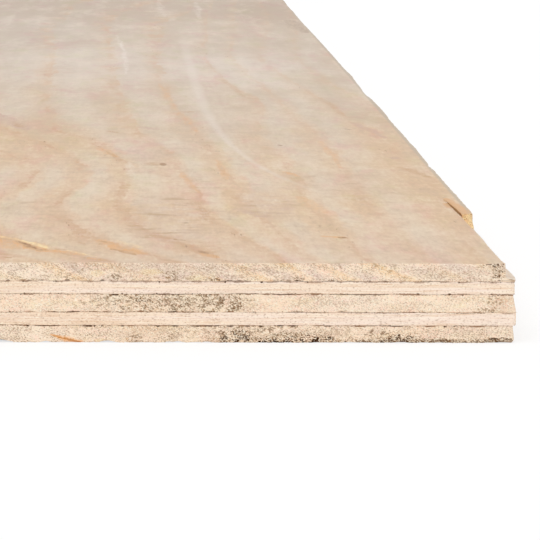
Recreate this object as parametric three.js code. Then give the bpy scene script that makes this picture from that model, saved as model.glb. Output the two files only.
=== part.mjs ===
// A 4 ft by 8 ft sheet of five-ply softwood plywood, lying flat. Millimetres, +Z up.
// X runs across the width and Y along the length. The origin is the middle of the underside.
// Every ply is one sheet of peeled veneer, glued crosswise to the next, so each is its own solid.
// A sliver has split off the face ply along one long edge, starting at a corner.

import * as THREE from 'three';

// The trimmed sheet.
const WIDTH = 1219.2; // 4 ft
const LENGTH = 2438.4; // 8 ft

// Veneer thicknesses after pressing and sanding, 18.25 mm in all.
// Eighths of a millimetre are exact in 32-bit numbers, so glued faces meet without a gap or an overlap.
const FACE_THICKNESS = 4.125;
const CROSSBAND_THICKNESS = 3.0;
const CENTRE_THICKNESS = 4.125;
const BACK_THICKNESS = 4.0;

// The split at the +X, -Y corner of the face ply. It follows the grain, which runs along Y.
const SPLIT_WIDTH = 2.9; // how far in from the long edge the sliver reached
const SPLIT_LENGTH = 86; // how far it ran back from the end of the sheet before it snapped
const BREAK_SLANT = 2.5; // the snapped end leans back by this much towards the long edge
const CRACK_WIDTH = 0.4; // the crack that runs on past the break, at its mouth
const CRACK_LENGTH = 25;
const CRACK_DRIFT = 0.9; // how far the crack has wandered inwards at its tip

const WOOD_ROUGHNESS = 0.85;

// From the underside up.
const PLIES = [
  { name: 'back_ply', thickness: BACK_THICKNESS, outline: fullOutline, colour: 0xd6bf9b },
  { name: 'crossband_lower', thickness: CROSSBAND_THICKNESS, outline: fullOutline, colour: 0xe9cfb2 },
  { name: 'centre_ply', thickness: CENTRE_THICKNESS, outline: fullOutline, colour: 0xdcc6a2 },
  { name: 'crossband_upper', thickness: CROSSBAND_THICKNESS, outline: fullOutline, colour: 0xe9cfb2 },
  { name: 'face_ply', thickness: FACE_THICKNESS, outline: splitOutline, colour: 0xdcc2a0 },
];

// The trimmed rectangle.
function fullOutline() {
  const shape = new THREE.Shape();
  shape.moveTo(WIDTH / 2, -LENGTH / 2);
  shape.lineTo(WIDTH / 2, LENGTH / 2);
  shape.lineTo(-WIDTH / 2, LENGTH / 2);
  shape.lineTo(-WIDTH / 2, -LENGTH / 2);
  shape.closePath();
  return shape;
}

// The same rectangle without the sliver that split off. The wood came away along the grain and
// snapped across it, and a crack runs on from the break, leaving the stub of the sliver half loose.
function splitOutline() {
  const edge = WIDTH / 2;
  const end = -LENGTH / 2;
  const splitLine = edge - SPLIT_WIDTH;
  const breakAt = end + SPLIT_LENGTH;
  const shape = new THREE.Shape();
  shape.moveTo(splitLine, end);
  shape.lineTo(splitLine, breakAt);
  shape.lineTo(splitLine - CRACK_DRIFT, breakAt + CRACK_LENGTH);
  shape.lineTo(splitLine + CRACK_WIDTH, breakAt);
  shape.lineTo(edge, breakAt + BREAK_SLANT);
  shape.lineTo(edge, LENGTH / 2);
  shape.lineTo(-edge, LENGTH / 2);
  shape.lineTo(-edge, end);
  shape.closePath();
  return shape;
}

function makePly({ name, thickness, outline, colour }) {
  const geometry = new THREE.ExtrudeGeometry(outline(), {
    depth: thickness,
    bevelEnabled: false,
  });
  const material = new THREE.MeshStandardMaterial({
    color: colour,
    roughness: WOOD_ROUGHNESS,
    metalness: 0,
  });
  const ply = new THREE.Mesh(geometry, material);
  ply.name = name;
  return ply;
}

const sheet = new THREE.Group();
let height = 0;
for (const veneer of PLIES) {
  const ply = makePly(veneer);
  ply.position.z = height;
  height += veneer.thickness;
  sheet.add(ply);
}

export default sheet;
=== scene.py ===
# %% [markdown]
# # A plywood sheet
#
# A sheet of softwood plywood is five thin sheets of wood, peeled from a log like paper off a roll
# and glued together with the grain of each one crossing the next. Lying on the floor it is a plain
# slab 18 mm thick, so everything that makes it look real is in its skin: the figure of the peeled
# face, the five stripes on the sawn edge, torn end grain, thin dark glue lines, a few stains and
# one corner where a sliver has split off.
#
# The solid part comes in as a fixed frame. Each ply there is a flat block. Here every block is
# replaced by a mesh of the same size with a worked surface, and dressed in procedural wood.

# %% Load the frame
import bpy
import math
import numpy as np
from mathutils import Matrix, Vector


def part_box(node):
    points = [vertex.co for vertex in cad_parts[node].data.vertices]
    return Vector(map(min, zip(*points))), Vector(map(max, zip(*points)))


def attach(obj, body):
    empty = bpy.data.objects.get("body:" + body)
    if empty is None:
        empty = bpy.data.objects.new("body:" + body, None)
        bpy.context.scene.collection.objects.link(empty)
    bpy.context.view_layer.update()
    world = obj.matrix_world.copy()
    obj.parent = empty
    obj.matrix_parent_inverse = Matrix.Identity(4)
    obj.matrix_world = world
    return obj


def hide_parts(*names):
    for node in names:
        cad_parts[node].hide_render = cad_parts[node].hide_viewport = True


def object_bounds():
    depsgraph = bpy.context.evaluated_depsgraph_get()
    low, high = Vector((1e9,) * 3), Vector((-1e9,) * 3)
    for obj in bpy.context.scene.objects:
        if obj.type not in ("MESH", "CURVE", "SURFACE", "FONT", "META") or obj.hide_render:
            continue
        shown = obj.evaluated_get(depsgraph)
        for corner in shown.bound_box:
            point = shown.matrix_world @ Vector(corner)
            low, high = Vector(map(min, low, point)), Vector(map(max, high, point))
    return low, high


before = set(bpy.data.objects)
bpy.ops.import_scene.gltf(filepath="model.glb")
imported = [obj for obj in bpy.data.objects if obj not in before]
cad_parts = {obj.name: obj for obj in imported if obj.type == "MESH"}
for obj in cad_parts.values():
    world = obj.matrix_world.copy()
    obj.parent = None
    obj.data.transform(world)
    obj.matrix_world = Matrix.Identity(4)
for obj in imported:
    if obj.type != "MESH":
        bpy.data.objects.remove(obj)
cad_low, cad_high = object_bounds()
print("sheet, mm:", [round(1000 * (b - a), 2) for a, b in zip(cad_low, cad_high)])

# %% [markdown]
# ## Millimetres from one corner
#
# A joiner measures a sheet from a corner, in millimetres, and so does this lesson. Blender works in
# metres, and the meshes are scaled once, at the very end. The corner that matters is the one at the
# right-hand end of the near edge, where the damage is: `right` is the long edge, `near` the short one.

# %% Sizes taken from the frame
MM = 0.001
left, near, _ = (value / MM for value in cad_low)
right, far, top = (value / MM for value in cad_high)

PLIES = ("back_ply", "crossband_lower", "centre_ply", "crossband_upper", "face_ply")


def ply_levels(name):
    """The heights of a ply's underside and upper side, in millimetres."""
    low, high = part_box(name)
    return low.z / MM, high.z / MM


for ply in PLIES:
    print(ply, "from %.3f to %.3f mm" % ply_levels(ply))

# %% [markdown]
# ## The camera
#
# The view is a close-up of one corner: a long lens, a little above the sheet and just left of the
# corner, looking almost straight down the long edge. A long lens keeps the five stripes parallel.
# Three small turns place the horizon, the direction of the long edge, and the level near edge.

# %% Camera
CAMERA_FROM_CORNER = Vector((-88.98, -670.73, 98.55))
CAMERA_YAW = math.radians(2.81)
CAMERA_PITCH = math.radians(8.48)
CAMERA_ROLL = math.radians(0.57)
LENS = 200.0
SENSOR = 36.0
SEES_AS_FAR_AS = 50.0


def aim(yaw, pitch, roll):
    """A camera's turn, from level and facing +Y: right by yaw, down by pitch, then tilted by roll."""
    turn = Matrix.Rotation(-yaw, 3, "Z") @ Matrix.Rotation(math.pi / 2 - pitch, 3, "X")
    return (turn @ Matrix.Rotation(roll, 3, "Z")).to_euler()


eye = bpy.data.objects.new("camera", bpy.data.cameras.new("camera"))
eye.data.lens = LENS
eye.data.sensor_width = SENSOR
eye.data.clip_end = SEES_AS_FAR_AS
eye.location = (Vector((right, near, top)) + CAMERA_FROM_CORNER) * MM
eye.rotation_euler = aim(CAMERA_YAW, CAMERA_PITCH, CAMERA_ROLL)
bpy.context.scene.collection.objects.link(eye)
bpy.context.scene.camera = eye
bpy.context.scene.view_settings.view_transform = "Standard"
print("camera at, mm:", [round(v / MM) for v in eye.location])

# %% [markdown]
# ## Arithmetic on wires
#
# Wood is many simple patterns laid over each other, and each pattern is a little arithmetic. Written
# out node by node that arithmetic is long and hard to read, so a `Wire` stands for one value that
# runs through the node tree. Adding or multiplying wires adds the Math nodes behind them: for each
# sign Python looks for two methods, one with the wire on its left side and one on its right.

# %% Wires
class Wire:
    """A value inside a node tree. Arithmetic on wires adds the nodes that do it."""

    def __init__(self, socket):
        self.socket = socket
        self.tree = socket.id_data


def plug(socket, value):
    """Feed a socket with a wire, or set it to a plain value."""
    if isinstance(value, Wire):
        value.tree.links.new(value.socket, socket)
    else:
        socket.default_value = value


def add_node(kind, values, output=0, sockets=range(5), **settings):
    """A node in the tree of the wires among the values, which go to its sockets in this order."""
    tree = next(value.tree for value in values if isinstance(value, Wire))
    node = tree.nodes.new("ShaderNode" + kind)
    for setting, value in settings.items():
        setattr(node, setting, value)
    for number, value in zip(sockets, values):
        plug(node.inputs[number], value)
    return Wire(node.outputs[output])


def maths(operation, *values):
    return add_node("Math", values, operation=operation)


SIGNS = {"add": "ADD", "sub": "SUBTRACT", "mul": "MULTIPLY", "truediv": "DIVIDE"}
for sign, operation in SIGNS.items():
    setattr(Wire, f"__{sign}__", lambda self, other, what=operation: maths(what, self, other))
    setattr(Wire, f"__r{sign}__", lambda self, other, what=operation: maths(what, other, self))
print("wires understand:", ", ".join(SIGNS))

# %% [markdown]
# ## Places
#
# A place in the wood is three numbers that travel together on one wire: in from the long edge, back
# from the near edge, and height. A few patterns need the numbers one by one, or swapped, and a few
# need a distance between two places.

# %% Places
def split_place(place):
    """The three numbers of a place: in from the long edge, back from the near edge, and height."""
    node = place.tree.nodes.new("ShaderNodeSeparateXYZ")
    plug(node.inputs[0], place)
    return [Wire(socket) for socket in node.outputs]


def join_place(*numbers):
    return add_node("CombineXYZ", numbers)


def vector_maths(operation, *values):
    return add_node("VectorMath", values, operation=operation)


def dot(first, second):
    return add_node("VectorMath", (first, second), output=1, operation="DOT_PRODUCT")


def length_of(vector):
    return add_node("VectorMath", (vector,), output=1, operation="LENGTH")


def on_edge(inward, level):
    """A place on the near sawn edge."""
    return inward, 0.0, level


def on_face(inward, back):
    """A place on the upper face."""
    return inward, back, top


print("the far left corner of the face is at:", [round(v, 1) for v in on_face(right - left, far - near)])

# %% [markdown]
# ## Masks and colours
#
# A mask is a wire from 0 to 1 that says where a finish shows. Most masks here are a pattern put
# through a smooth step, and most colours are one tone laid over another through a mask, as a
# painter lays glazes. Colours are written the way a screen shows them and turned into the linear
# values that shaders use.

# %% Masks and colours
def ramp(value, start, end, low=0.0, high=1.0):
    """A smooth step: low up to start, high from end on."""
    return add_node("MapRange", (value, start, end, low, high), interpolation_type="SMOOTHSTEP")


def hump(value, rise_from, rise_to, fall_from, fall_to):
    """Up from 0 to 1, and later back to 0, as the value grows."""
    return ramp(value, rise_from, rise_to) * ramp(value, fall_from, fall_to, 1.0, 0.0)


def at_least(value, least):
    return maths("MAXIMUM", value, least)


def at_most(value, most):
    return maths("MINIMUM", value, most)


def blend(mask, under, over, how="MIX"):
    """One colour laid over another where the mask says so. MULTIPLY dyes it instead of hiding it."""
    return add_node("Mix", (mask, under, over), 2, (0, 6, 7), data_type="RGBA", blend_type=how)


def paint(colour, *coats):
    """A colour under several coats, each of them a mask and a tone."""
    for mask, shade in coats:
        colour = blend(mask, colour, shade)
    return colour


def tone(red, green, blue):
    """A colour as it shows on a screen, 0 to 255 each, made linear by the usual screen curve."""
    shares = (red / 255, green / 255, blue / 255)
    linear = (s / 12.92 if s < 0.04045 else ((s + 0.055) / 1.055) ** 2.4 for s in shares)
    return (*linear, 1.0)


print("wood white as a linear value:", [round(v, 3) for v in tone(245, 235, 215)[:3]])

# %% [markdown]
# ## Noise with a grain
#
# Nearly everything in wood is longer one way than the other. Blender's noise is the same size all
# ways, so the place is squeezed before it is read, and a lump comes out with its own width, length
# and height in millimetres. A seed moves the reading to another piece of the same endless noise.

# %% Noise
SEED_STEP = (17.31, 9.17, 23.71)


def noise(place, size, seed=0.0, detail=2.0, roughness=0.5):
    """Smooth noise about 0.5, with lumps of the given size in mm. The seed picks another piece of it."""
    if isinstance(seed, Wire):
        away = vector_maths("MULTIPLY", join_place(seed, seed, seed), SEED_STEP)
    else:
        away = tuple(seed * step for step in SEED_STEP)
    squeezed = vector_maths("MULTIPLY_ADD", place, tuple(1 / s for s in size), away)
    return add_node("TexNoise", (squeezed, 1.0, detail, roughness), sockets=(0, 2, 3, 4))


def sway(place, size, seed, strength, detail=2.0, roughness=0.5):
    """The same noise, swinging evenly about 0."""
    return (noise(place, size, seed, detail, roughness) - 0.5) * strength


def leaning(place, slant):
    """The place turned a little about the grain, so that flat specks drawn on it lean."""
    inward, back, height = split_place(place)
    return join_place(inward + height * slant, back, height - inward * slant)


print("one seed further is this many lumps away:", round(math.hypot(*SEED_STEP), 1))

# %% [markdown]
# ## Node groups
#
# A pattern that several kinds of wood share is a node group with named sockets, built once. Each
# material then places it with its own values. A group here has one thing more to it than its nodes:
# a function that sets its outputs, so that a pattern is written as its inputs, some arithmetic, and
# what comes out.

# %% Node groups
def new_group(name, inputs, outputs):
    """An empty node group with named sockets: its inputs as wires, and a function that sets its outputs."""
    tree = bpy.data.node_groups.new(name, "ShaderNodeTree")
    for label, value in inputs.items():
        kind = "NodeSocketFloat" if isinstance(value, float) else "NodeSocketVector"
        socket = tree.interface.new_socket(name=label, in_out="INPUT", socket_type=kind)
        socket.default_value = value
    for label in outputs:
        tree.interface.new_socket(name=label, in_out="OUTPUT", socket_type="NodeSocketFloat")
    source = tree.nodes.new("NodeGroupInput")
    sink = tree.nodes.new("NodeGroupOutput")

    def finish(**values):
        for label, value in values.items():
            plug(sink.inputs[label], value)
        print(name, "group:", len(tree.nodes), "nodes")
        return tree

    return {label: Wire(source.outputs[label]) for label in inputs}, finish


def use(group, place, **values):
    """Place a group in a material: its outputs, by name, as wires."""
    node = place.tree.nodes.new("ShaderNodeGroup")
    node.node_tree = group
    for label, value in {"Place": place, **values}.items():
        plug(node.inputs[label], value)
    return {socket.name: Wire(socket) for socket in node.outputs}


print("node groups so far:", len(bpy.data.node_groups))

# %% [markdown]
# ## Materials
#
# Every material reads the same thing first: the place that each point of the mesh had before the saw
# and the knocks moved it, kept as a point attribute. The rings and fibres then run through the wood
# undisturbed, as they do in a real sheet. Colour and relief both come from those patterns, so a pit
# that is painted dark is also a dent.

# %% Materials
PLACE_NAME = "sawn_place"


def node_of_type(tree, kind):
    return next(node for node in tree.nodes if node.type == kind)


def new_material(name, roughness, specular):
    """A material with an even roughness and gloss, and its shader."""
    material = bpy.data.materials.new(name)
    material.use_nodes = True
    shader = node_of_type(material.node_tree, "BSDF_PRINCIPLED")
    shader.inputs["Roughness"].default_value = roughness
    shader.inputs["Specular IOR Level"].default_value = specular
    return material, shader


def sawn_place(material):
    """The wire of the place that each point had before it was worked."""
    place = material.node_tree.nodes.new("ShaderNodeAttribute")
    place.attribute_name = PLACE_NAME
    return Wire(place.outputs["Vector"])


def dress(material, shader, colour, height, depth):
    """Give a material its colour, and a relief where a height of 1 is this many millimetres."""
    plug(shader.inputs["Base Color"], colour)
    node = height.tree.nodes.new("ShaderNodeBump")
    node.inputs["Strength"].default_value = 1.0
    node.inputs["Distance"].default_value = depth * MM
    plug(node.inputs["Height"], height)
    plug(shader.inputs["Normal"], Wire(node.outputs[0]))
    print(material.name, "material:", len(material.node_tree.nodes), "nodes")
    return material


print("each material reads:", PLACE_NAME)

# %% [markdown]
# ## Light and floor
#
# Bare wood looks best in the light of a white tent: bright from every side. The sun shines through the
# tent's roof as one broad soft lamp, a little from the front, so that torn grain casts small shadows.
# Sky and sun together light a level white sheet just to white, and so each wood colour renders about
# as it is written.

# %% World and lamp
WHITE = (1.0, 1.0, 1.0, 1.0)
TENT_LIGHT = 0.8
SUN_STRENGTH = 0.85
SUN_ANGLE = math.radians(50)
SUN_FROM = Vector((-0.35, -0.45, 1.0))


def seen_by_eye(tree):
    """1 where a ray comes from the camera, a mirror or glass, and 0 where it only carries light."""
    rays = tree.nodes.new("ShaderNodeLightPath")
    camera, glossy, through = (
        Wire(rays.outputs[kind]) for kind in ("Is Camera Ray", "Is Glossy Ray", "Is Transmission Ray")
    )
    return at_least(at_least(camera, glossy), through)


def mix_shaders(tree, share, first, second, output):
    """Join two shaders: the second shows by this share, the first by the rest."""
    mixer = tree.nodes.new("ShaderNodeMixShader")
    plug(mixer.inputs[0], share)
    tree.links.new(first.outputs[0], mixer.inputs[1])
    tree.links.new(second.outputs[0], mixer.inputs[2])
    tree.links.new(mixer.outputs[0], output.inputs[0])


world = bpy.data.worlds.new("tent")
bpy.context.scene.world = world
world.use_nodes = True
tent = world.node_tree
tent_light = node_of_type(tent, "BACKGROUND")
tent_light.inputs["Color"].default_value = WHITE
tent_light.inputs["Strength"].default_value = TENT_LIGHT
tent_wall = tent.nodes.new("ShaderNodeBackground")
tent_wall.inputs["Color"].default_value = WHITE
mix_shaders(tent, seen_by_eye(tent), tent_light, tent_wall, node_of_type(tent, "OUTPUT_WORLD"))

sun = bpy.data.objects.new("sun", bpy.data.lights.new("sun", "SUN"))
sun.data.energy = SUN_STRENGTH
sun.data.angle = SUN_ANGLE
sun.rotation_euler = SUN_FROM.to_track_quat("Z", "Y").to_euler()
bpy.context.scene.collection.objects.link(sun)
light_on_level = TENT_LIGHT + SUN_STRENGTH * SUN_FROM.normalized().z / math.pi
print("light on a level sheet, 1 is white:", round(light_on_level, 2))

# %% [markdown]
# ## A floor of white paper
#
# Things are shown off on white paper that is lit until it is as good as pure white. More light would
# bleach the wood too, so what the camera sees of this floor is mostly a white of its own and partly
# its lit shade. The shadow under the edge stays, and it is softer.

# %% Floor
FLOOR_WHITENESS = 0.7
FLOOR_HALF_WIDTH = 40.0
FLOOR_DROP = 0.00002
SQUARE = ((-1, -1), (1, -1), (1, 1), (-1, 1))

paper, paper_shader = new_material("paper", roughness=1.0, specular=0.0)
paper_shader.inputs["Base Color"].default_value = WHITE
own_white = paper.node_tree.nodes.new("ShaderNodeEmission")
own_white.inputs["Strength"].default_value = 1.0
paper_share = seen_by_eye(paper.node_tree) * FLOOR_WHITENESS
paper_output = node_of_type(paper.node_tree, "OUTPUT_MATERIAL")
mix_shaders(paper.node_tree, paper_share, paper_shader, own_white, paper_output)

floor_mesh = bpy.data.meshes.new("floor")
floor_mesh.from_pydata([(FLOOR_HALF_WIDTH * x, FLOOR_HALF_WIDTH * y, 0) for x, y in SQUARE], [], [range(4)])
floor_mesh.materials.append(paper)
floor = bpy.data.objects.new("floor", floor_mesh)
floor.location.z = cad_low.z - FLOOR_DROP
bpy.context.scene.collection.objects.link(floor)
print("floor, m across:", 2 * FLOOR_HALF_WIDTH)

# %% [markdown]
# ## Random relief that repeats exactly
#
# Torn wood needs thousands of small random heights, and the same ones on every run. This is value
# noise: a whole-number lattice with one number worked out at each point, and smooth steps between
# the points. The lumps can be stretched. Wood fibres are long and thin, so lumps drawn out along the
# grain look like pits where a saw crosses them and like streaks where it runs beside them.

# %% Value noise
def lattice_number(i, j, k, seed):
    """A repeatable number from 0 to 1 at every whole-number point, from large odd multipliers."""
    mixed = (i * 374761393 + j * 668265263 + k * 1442695041 + seed * 974634777) & 0xFFFFFFFF
    mixed = ((mixed ^ (mixed >> 13)) * 1274126177) & 0xFFFFFFFF
    return ((mixed ^ (mixed >> 16)) & 0xFFFF) / 0xFFFF


def lumps(place, size, seed):
    """Smooth noise from -1 to 1 at each place, with lumps of the given size in mm along x, y, z."""
    cell = place / np.array(size)
    corner = np.floor(cell).astype(np.int64)
    part = cell - corner
    part = part * part * (3 - 2 * part)
    total = np.zeros(place.shape[:-1])
    for step in np.ndindex(2, 2, 2):
        share = np.prod(np.where(step, part, 1 - part), axis=-1)
        total += share * lattice_number(*np.moveaxis(corner + step, -1, 0), seed)
    return 2 * total - 1


def lasting_random(count, seed):
    """As many repeatable numbers from 0 to 1 as there are columns."""
    steps = np.arange(count)
    return lattice_number(steps, steps * 7 + 3, steps * 13 + 5, seed)


def bell(distance, reach):
    """1 at no distance, and fading smoothly to almost nothing at twice the reach."""
    return np.exp(-((distance / reach) ** 2))


print("noise at the corner:", round(float(lumps(np.array([right, near, 0.0]), (1, 1, 1), 1)), 3))

# %% [markdown]
# ## The outline of a ply
#
# Seen from above a ply is a rectangle. The face ply lacks a sliver that split off beside the near
# right corner: the wood came away along the grain, snapped, and left a crack running on. An outline
# is a list of corners, walked anticlockwise, each with the kind of cut that starts there.

# %% Outlines
SPLIT_PATH = ((2.3, 0.0), (2.8, 3.0), (3.2, 30.0), (3.35, 60.0), (3.65, 86.0))
CRACK_TIP = (4.2, 114.5)
CRACK_OUTER_WALL = ((3.5, 108.0), (3.0, 96.0))
SNAP = (2.65, 86.0)
BREAK_END = (0.0, 88.5)


def from_corner(place):
    """A point given as millimetres in from the long edge and back from the near edge."""
    return right - place[0], near + place[1]


SAWN_SIDES = [((right, far), "sawn"), ((left, far), "sawn"), ((left, near), "sawn")]
WHOLE_OUTLINE = [((right, near), "sawn")] + SAWN_SIDES
SPLIT_OUTLINE = [
    *((from_corner(place), "split") for place in SPLIT_PATH),
    *((from_corner(place), "crack") for place in (CRACK_TIP, *CRACK_OUTER_WALL)),
    (from_corner(SNAP), "snapped"),
    (from_corner(BREAK_END), "sawn"),
] + SAWN_SIDES
print("the sliver was %.1f mm wide at the corner and %.1f mm long" % (SPLIT_PATH[0][0], BREAK_END[1]))

# %% [markdown]
# ## Walking round it
#
# Every few tenths of a millimetre round the outline a column is set up, with the direction that faces
# out of the wood. The steps are a quarter of a millimetre by the corner and grow with the distance
# from it, because the far end of the sheet is never seen so closely. Even a sawn corner is a little
# round, so the columns turn it on a small arc.

# %% Columns round an outline
FINE_STEP = 0.25
FINE_REACH = 125.0
STEP_GROWTH = 0.012
LONGEST_STEP = 8.0
SHORTEST_LAST_STEP = 0.6
CORNER_ROUND = 0.8
SPLIT_ROUND = 0.65
SHARP_TURN = math.radians(20)
ARC_STEP = math.radians(18)


def step_at(point):
    """How far apart columns stand at this distance from the corner that is seen close up."""
    distance = math.dist(point, (right, near))
    return min(LONGEST_STEP, FINE_STEP + STEP_GROWTH * max(0.0, distance - FINE_REACH))


def turned(direction, angle):
    c, s = math.cos(angle), math.sin(angle)
    return np.array([c * direction[0] - s * direction[1], s * direction[0] + c * direction[1]])


def corner_rounding(before, way, kind, room):
    """How far an outline turns at a corner, the radius there, and what the arc cuts off each side."""
    turn = math.atan2(before[0] * way[1] - before[1] * way[0], before @ way)
    radius = min(CORNER_ROUND if kind == "sawn" else SPLIT_ROUND, room) if turn > SHARP_TURN else 0.0
    return turn, radius, radius * math.tan(max(turn, 0) / 2)


def walk(outline):
    """Columns round an outline: their places, the way each faces, and the kind of cut behind it."""
    corners = [np.array(corner) for corner, _ in outline]
    sides = [b - a for a, b in zip(corners, corners[1:] + corners[:1])]
    lengths = [float(np.hypot(*side)) for side in sides]
    ways = [side / length for side, length in zip(sides, lengths)]
    roundings = [
        corner_rounding(ways[i - 1], ways[i], outline[i][1], min(lengths[i], lengths[i - 1]) / 4)
        for i in range(len(outline))
    ]
    columns = []
    for i, (corner, way, length) in enumerate(zip(corners, ways, lengths)):
        turn, radius, trim = roundings[i]
        next_trim = roundings[(i + 1) % len(outline)][2]
        kind = outline[i][1]
        out = turned(way, -math.pi / 2)
        if radius:
            centre = corner + way * trim - out * radius
            arc = max(2, math.ceil(turn / ARC_STEP))
            arc_facings = [turned(out, -turn * (1 - k / arc)) for k in range(1, arc + 1)]
            columns += [(centre + facing * radius, facing, kind) for facing in arc_facings]
        else:
            columns.append((corner, turned(out, -turn / 2), kind))
        run = trim + step_at(corner + way * trim)
        while run <= length - next_trim - SHORTEST_LAST_STEP * step_at(corner + way * run):
            columns.append((corner + way * run, out, kind))
            run += step_at(corner + way * run)
        if next_trim:
            columns.append((corner + way * (length - next_trim), out, kind))
    return [np.array(part) for part in zip(*columns)]


whole_walk = walk(WHOLE_OUTLINE)
split_walk = walk(SPLIT_OUTLINE)
print("columns:", len(whole_walk[0]), "whole,", len(split_walk[0]), "split")

# %% [markdown]
# ## The lay-up
#
# Three plies have their grain along the sheet, and between them two crossbands have it across. That
# keeps the sheet flat and stops it from splitting right through. Each ply has its grain, its outline
# and a seed of its own, so that no two look alike.

# %% Lay-up
GRAIN_ALONG = np.array([0.0, 1.0])
GRAIN_ACROSS = np.array([1.0, 0.0])
LAYUP = {
    "back_ply": (GRAIN_ALONG, WHOLE_OUTLINE, 11),
    "crossband_lower": (GRAIN_ACROSS, WHOLE_OUTLINE, 12),
    "centre_ply": (GRAIN_ALONG, WHOLE_OUTLINE, 13),
    "crossband_upper": (GRAIN_ACROSS, WHOLE_OUTLINE, 14),
    "face_ply": (GRAIN_ALONG, SPLIT_OUTLINE, 15),
}
print("plies with the grain along the sheet:", sum(grain is GRAIN_ALONG for grain, _, _ in LAYUP.values()))

# %% [markdown]
# ## What a saw does to veneer
#
# Where the grain of a ply meets the saw end on, the blade tears small pits between the fibres. Where
# the grain runs along the cut it leaves a smooth wall with faint streaks. Along each glue line the
# soft wood beside the glue has crumbled and left a fine dark groove, with a gap here and there. The
# outer arrises are frayed. The long edge is not quite straight: it bows and swells by tenths of a
# millimetre.
#
# All of this is one number for each point of the wall: how far it lies inside the flat sawn plane.
# The numbers are real sizes, in millimetres, and the last number of each `lumps` is its seed.

# %% Relief of a sawn wall
PIT_WIDTH, PIT_HEIGHT, FIBRE_LENGTH = 0.5, 0.4, 16.0
END_PIT_DEPTH, SIDE_PIT_DEPTH = 0.16, 0.1
FINE_PIT_SHARE, PIT_THRESHOLD = 0.4, 0.15
SAW_WANDER, SAW_WAVE = 0.05, (7.0, 7.0, 60.0)
MEAN_LOSS = 0.12
LONG_EDGE_BOW, BOW_SIZE = 0.25, (150.0, 150.0, 500.0)
LONG_EDGE_SWELLS = (
    (195.0, 6.0, -0.4),
    (247.0, 12.0, 0.25),
    (325.0, 22.0, -0.35),
    (370.0, 60.0, 0.4),
    (433.0, 17.0, -0.85),
    (511.0, 20.0, 0.5),
    (850.0, 70.0, -0.55),
    (955.0, 30.0, -0.5),
)
GROOVE_DEPTH, GROOVE_REACH = 0.07, 0.11
GAP_DEPTH, GAP_REACH = 0.4, 0.28
ARRIS_WEAR, ARRIS_REACH = 0.16, 0.2
PATCH_SIZE, GAP_SIZE = (3.2, 3.2, 60.0), (1.7, 1.7, 60.0)


def stretched(share, grain):
    """The size of a pit, or of a share of one, that is drawn out along the grain."""
    width, length = PIT_WIDTH * share, FIBRE_LENGTH * share
    return (length if grain[0] else width, length if grain[1] else width, PIT_HEIGHT * share)


def torn_fibres(place, grain, seed):
    return lumps(place, stretched(1.0, grain), seed)


def sawn_relief(place, facing, name):
    """How far each point of a sawn wall lies inside the plane of the cut, in mm."""
    grain, _, seed = LAYUP[name]
    low, high = ply_levels(name)
    end_on = (facing @ grain) ** 2
    fine = lumps(place, stretched(0.5, grain), seed + 20)
    pits = np.clip(torn_fibres(place, grain, seed) + FINE_PIT_SHARE * fine - PIT_THRESHOLD, 0, 1)
    depth = pits * (END_PIT_DEPTH * end_on + SIDE_PIT_DEPTH * (1 - end_on))
    depth += SAW_WANDER * lumps(place, SAW_WAVE, 40)

    patchy = np.clip(0.5 + lumps(place, PATCH_SIZE, seed + 60), 0, 1)
    sparse = np.clip(3 * lumps(place, GAP_SIZE, seed + 80) - 1.5, 0, 1)
    for level, outer in ((low, name == "back_ply"), (high, name == "face_ply")):
        distance = np.abs(place[..., 2] - level)
        if outer:
            depth += ARRIS_WEAR * (0.5 + patchy) * np.exp(-distance / ARRIS_REACH)
        else:
            depth += GROOVE_DEPTH * patchy * bell(distance, GROOVE_REACH)
            depth += GAP_DEPTH * end_on * sparse * bell(distance, GAP_REACH)

    depth -= MEAN_LOSS
    depth -= LONG_EDGE_BOW * (1 - np.abs(facing[..., 1])) * lumps(place, BOW_SIZE, 41)
    for back, reach, swell in LONG_EDGE_SWELLS:
        depth -= swell * np.clip(facing[..., 0], 0, 1) * bell(place[..., 1] - near - back, reach)
    return depth


near_edge = np.array([(right - inward, near, top / 2) for inward in range(5, 117)])
near_edge_relief = sawn_relief(near_edge, np.array([0.0, -1.0]), "centre_ply")
print("the sawn end goes in and out by, mm:", round(float(np.ptp(near_edge_relief)), 2))

# %% [markdown]
# ## The wall of the break
#
# Where the sliver split off, the wall follows the fibres, so it is smooth along the grain and spreads
# a little towards the glue. Where the wood snapped, needles of different lengths are left standing on
# a slope. The two walls of the crack are almost clean.

# %% Relief of the break
SNAP_DEPTH, NEEDLE_SIZE = 0.9, (0.5, 60.0, 0.5)
SNAP_SLOPE, LEAST_SLOPE, SLOPE_BY_NEEDLE = 1.7, 0.6, 0.8
SPLIT_DEPTH, SPLIT_SPREAD = 0.14, 0.35
CRACK_DEPTH = 0.07


def wall_relief(place, facing, kinds, name):
    """How far each point of a ply's wall lies inside the flat plane, whatever made that wall."""
    grain, _, seed = LAYUP[name]
    low, high = ply_levels(name)
    torn = torn_fibres(place, grain, seed)
    needles = np.abs(lumps(place, NEEDLE_SIZE, seed + 90))
    below = (high - place[..., 2]) / (high - low)
    slope = SNAP_SLOPE * below * (LEAST_SLOPE + SLOPE_BY_NEEDLE * needles)
    depth = sawn_relief(place, facing, name)
    depth = np.where(kinds == "snapped", SNAP_DEPTH * needles - slope, depth)
    depth = np.where(kinds == "split", SPLIT_DEPTH * torn - SPLIT_SPREAD * below**2, depth)
    return np.where(kinds == "crack", CRACK_DEPTH * torn, depth)


print("columns in the break:", int(np.sum(split_walk[2] == "snapped")))

# %% [markdown]
# ## The ends of the plies at the corner
#
# The five plies were trimmed together, but the corner has been knocked since. Each ply ends a few
# tenths of a millimetre from the next, and the lowest has lost most. The loss fades out along the
# long edge.

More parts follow.
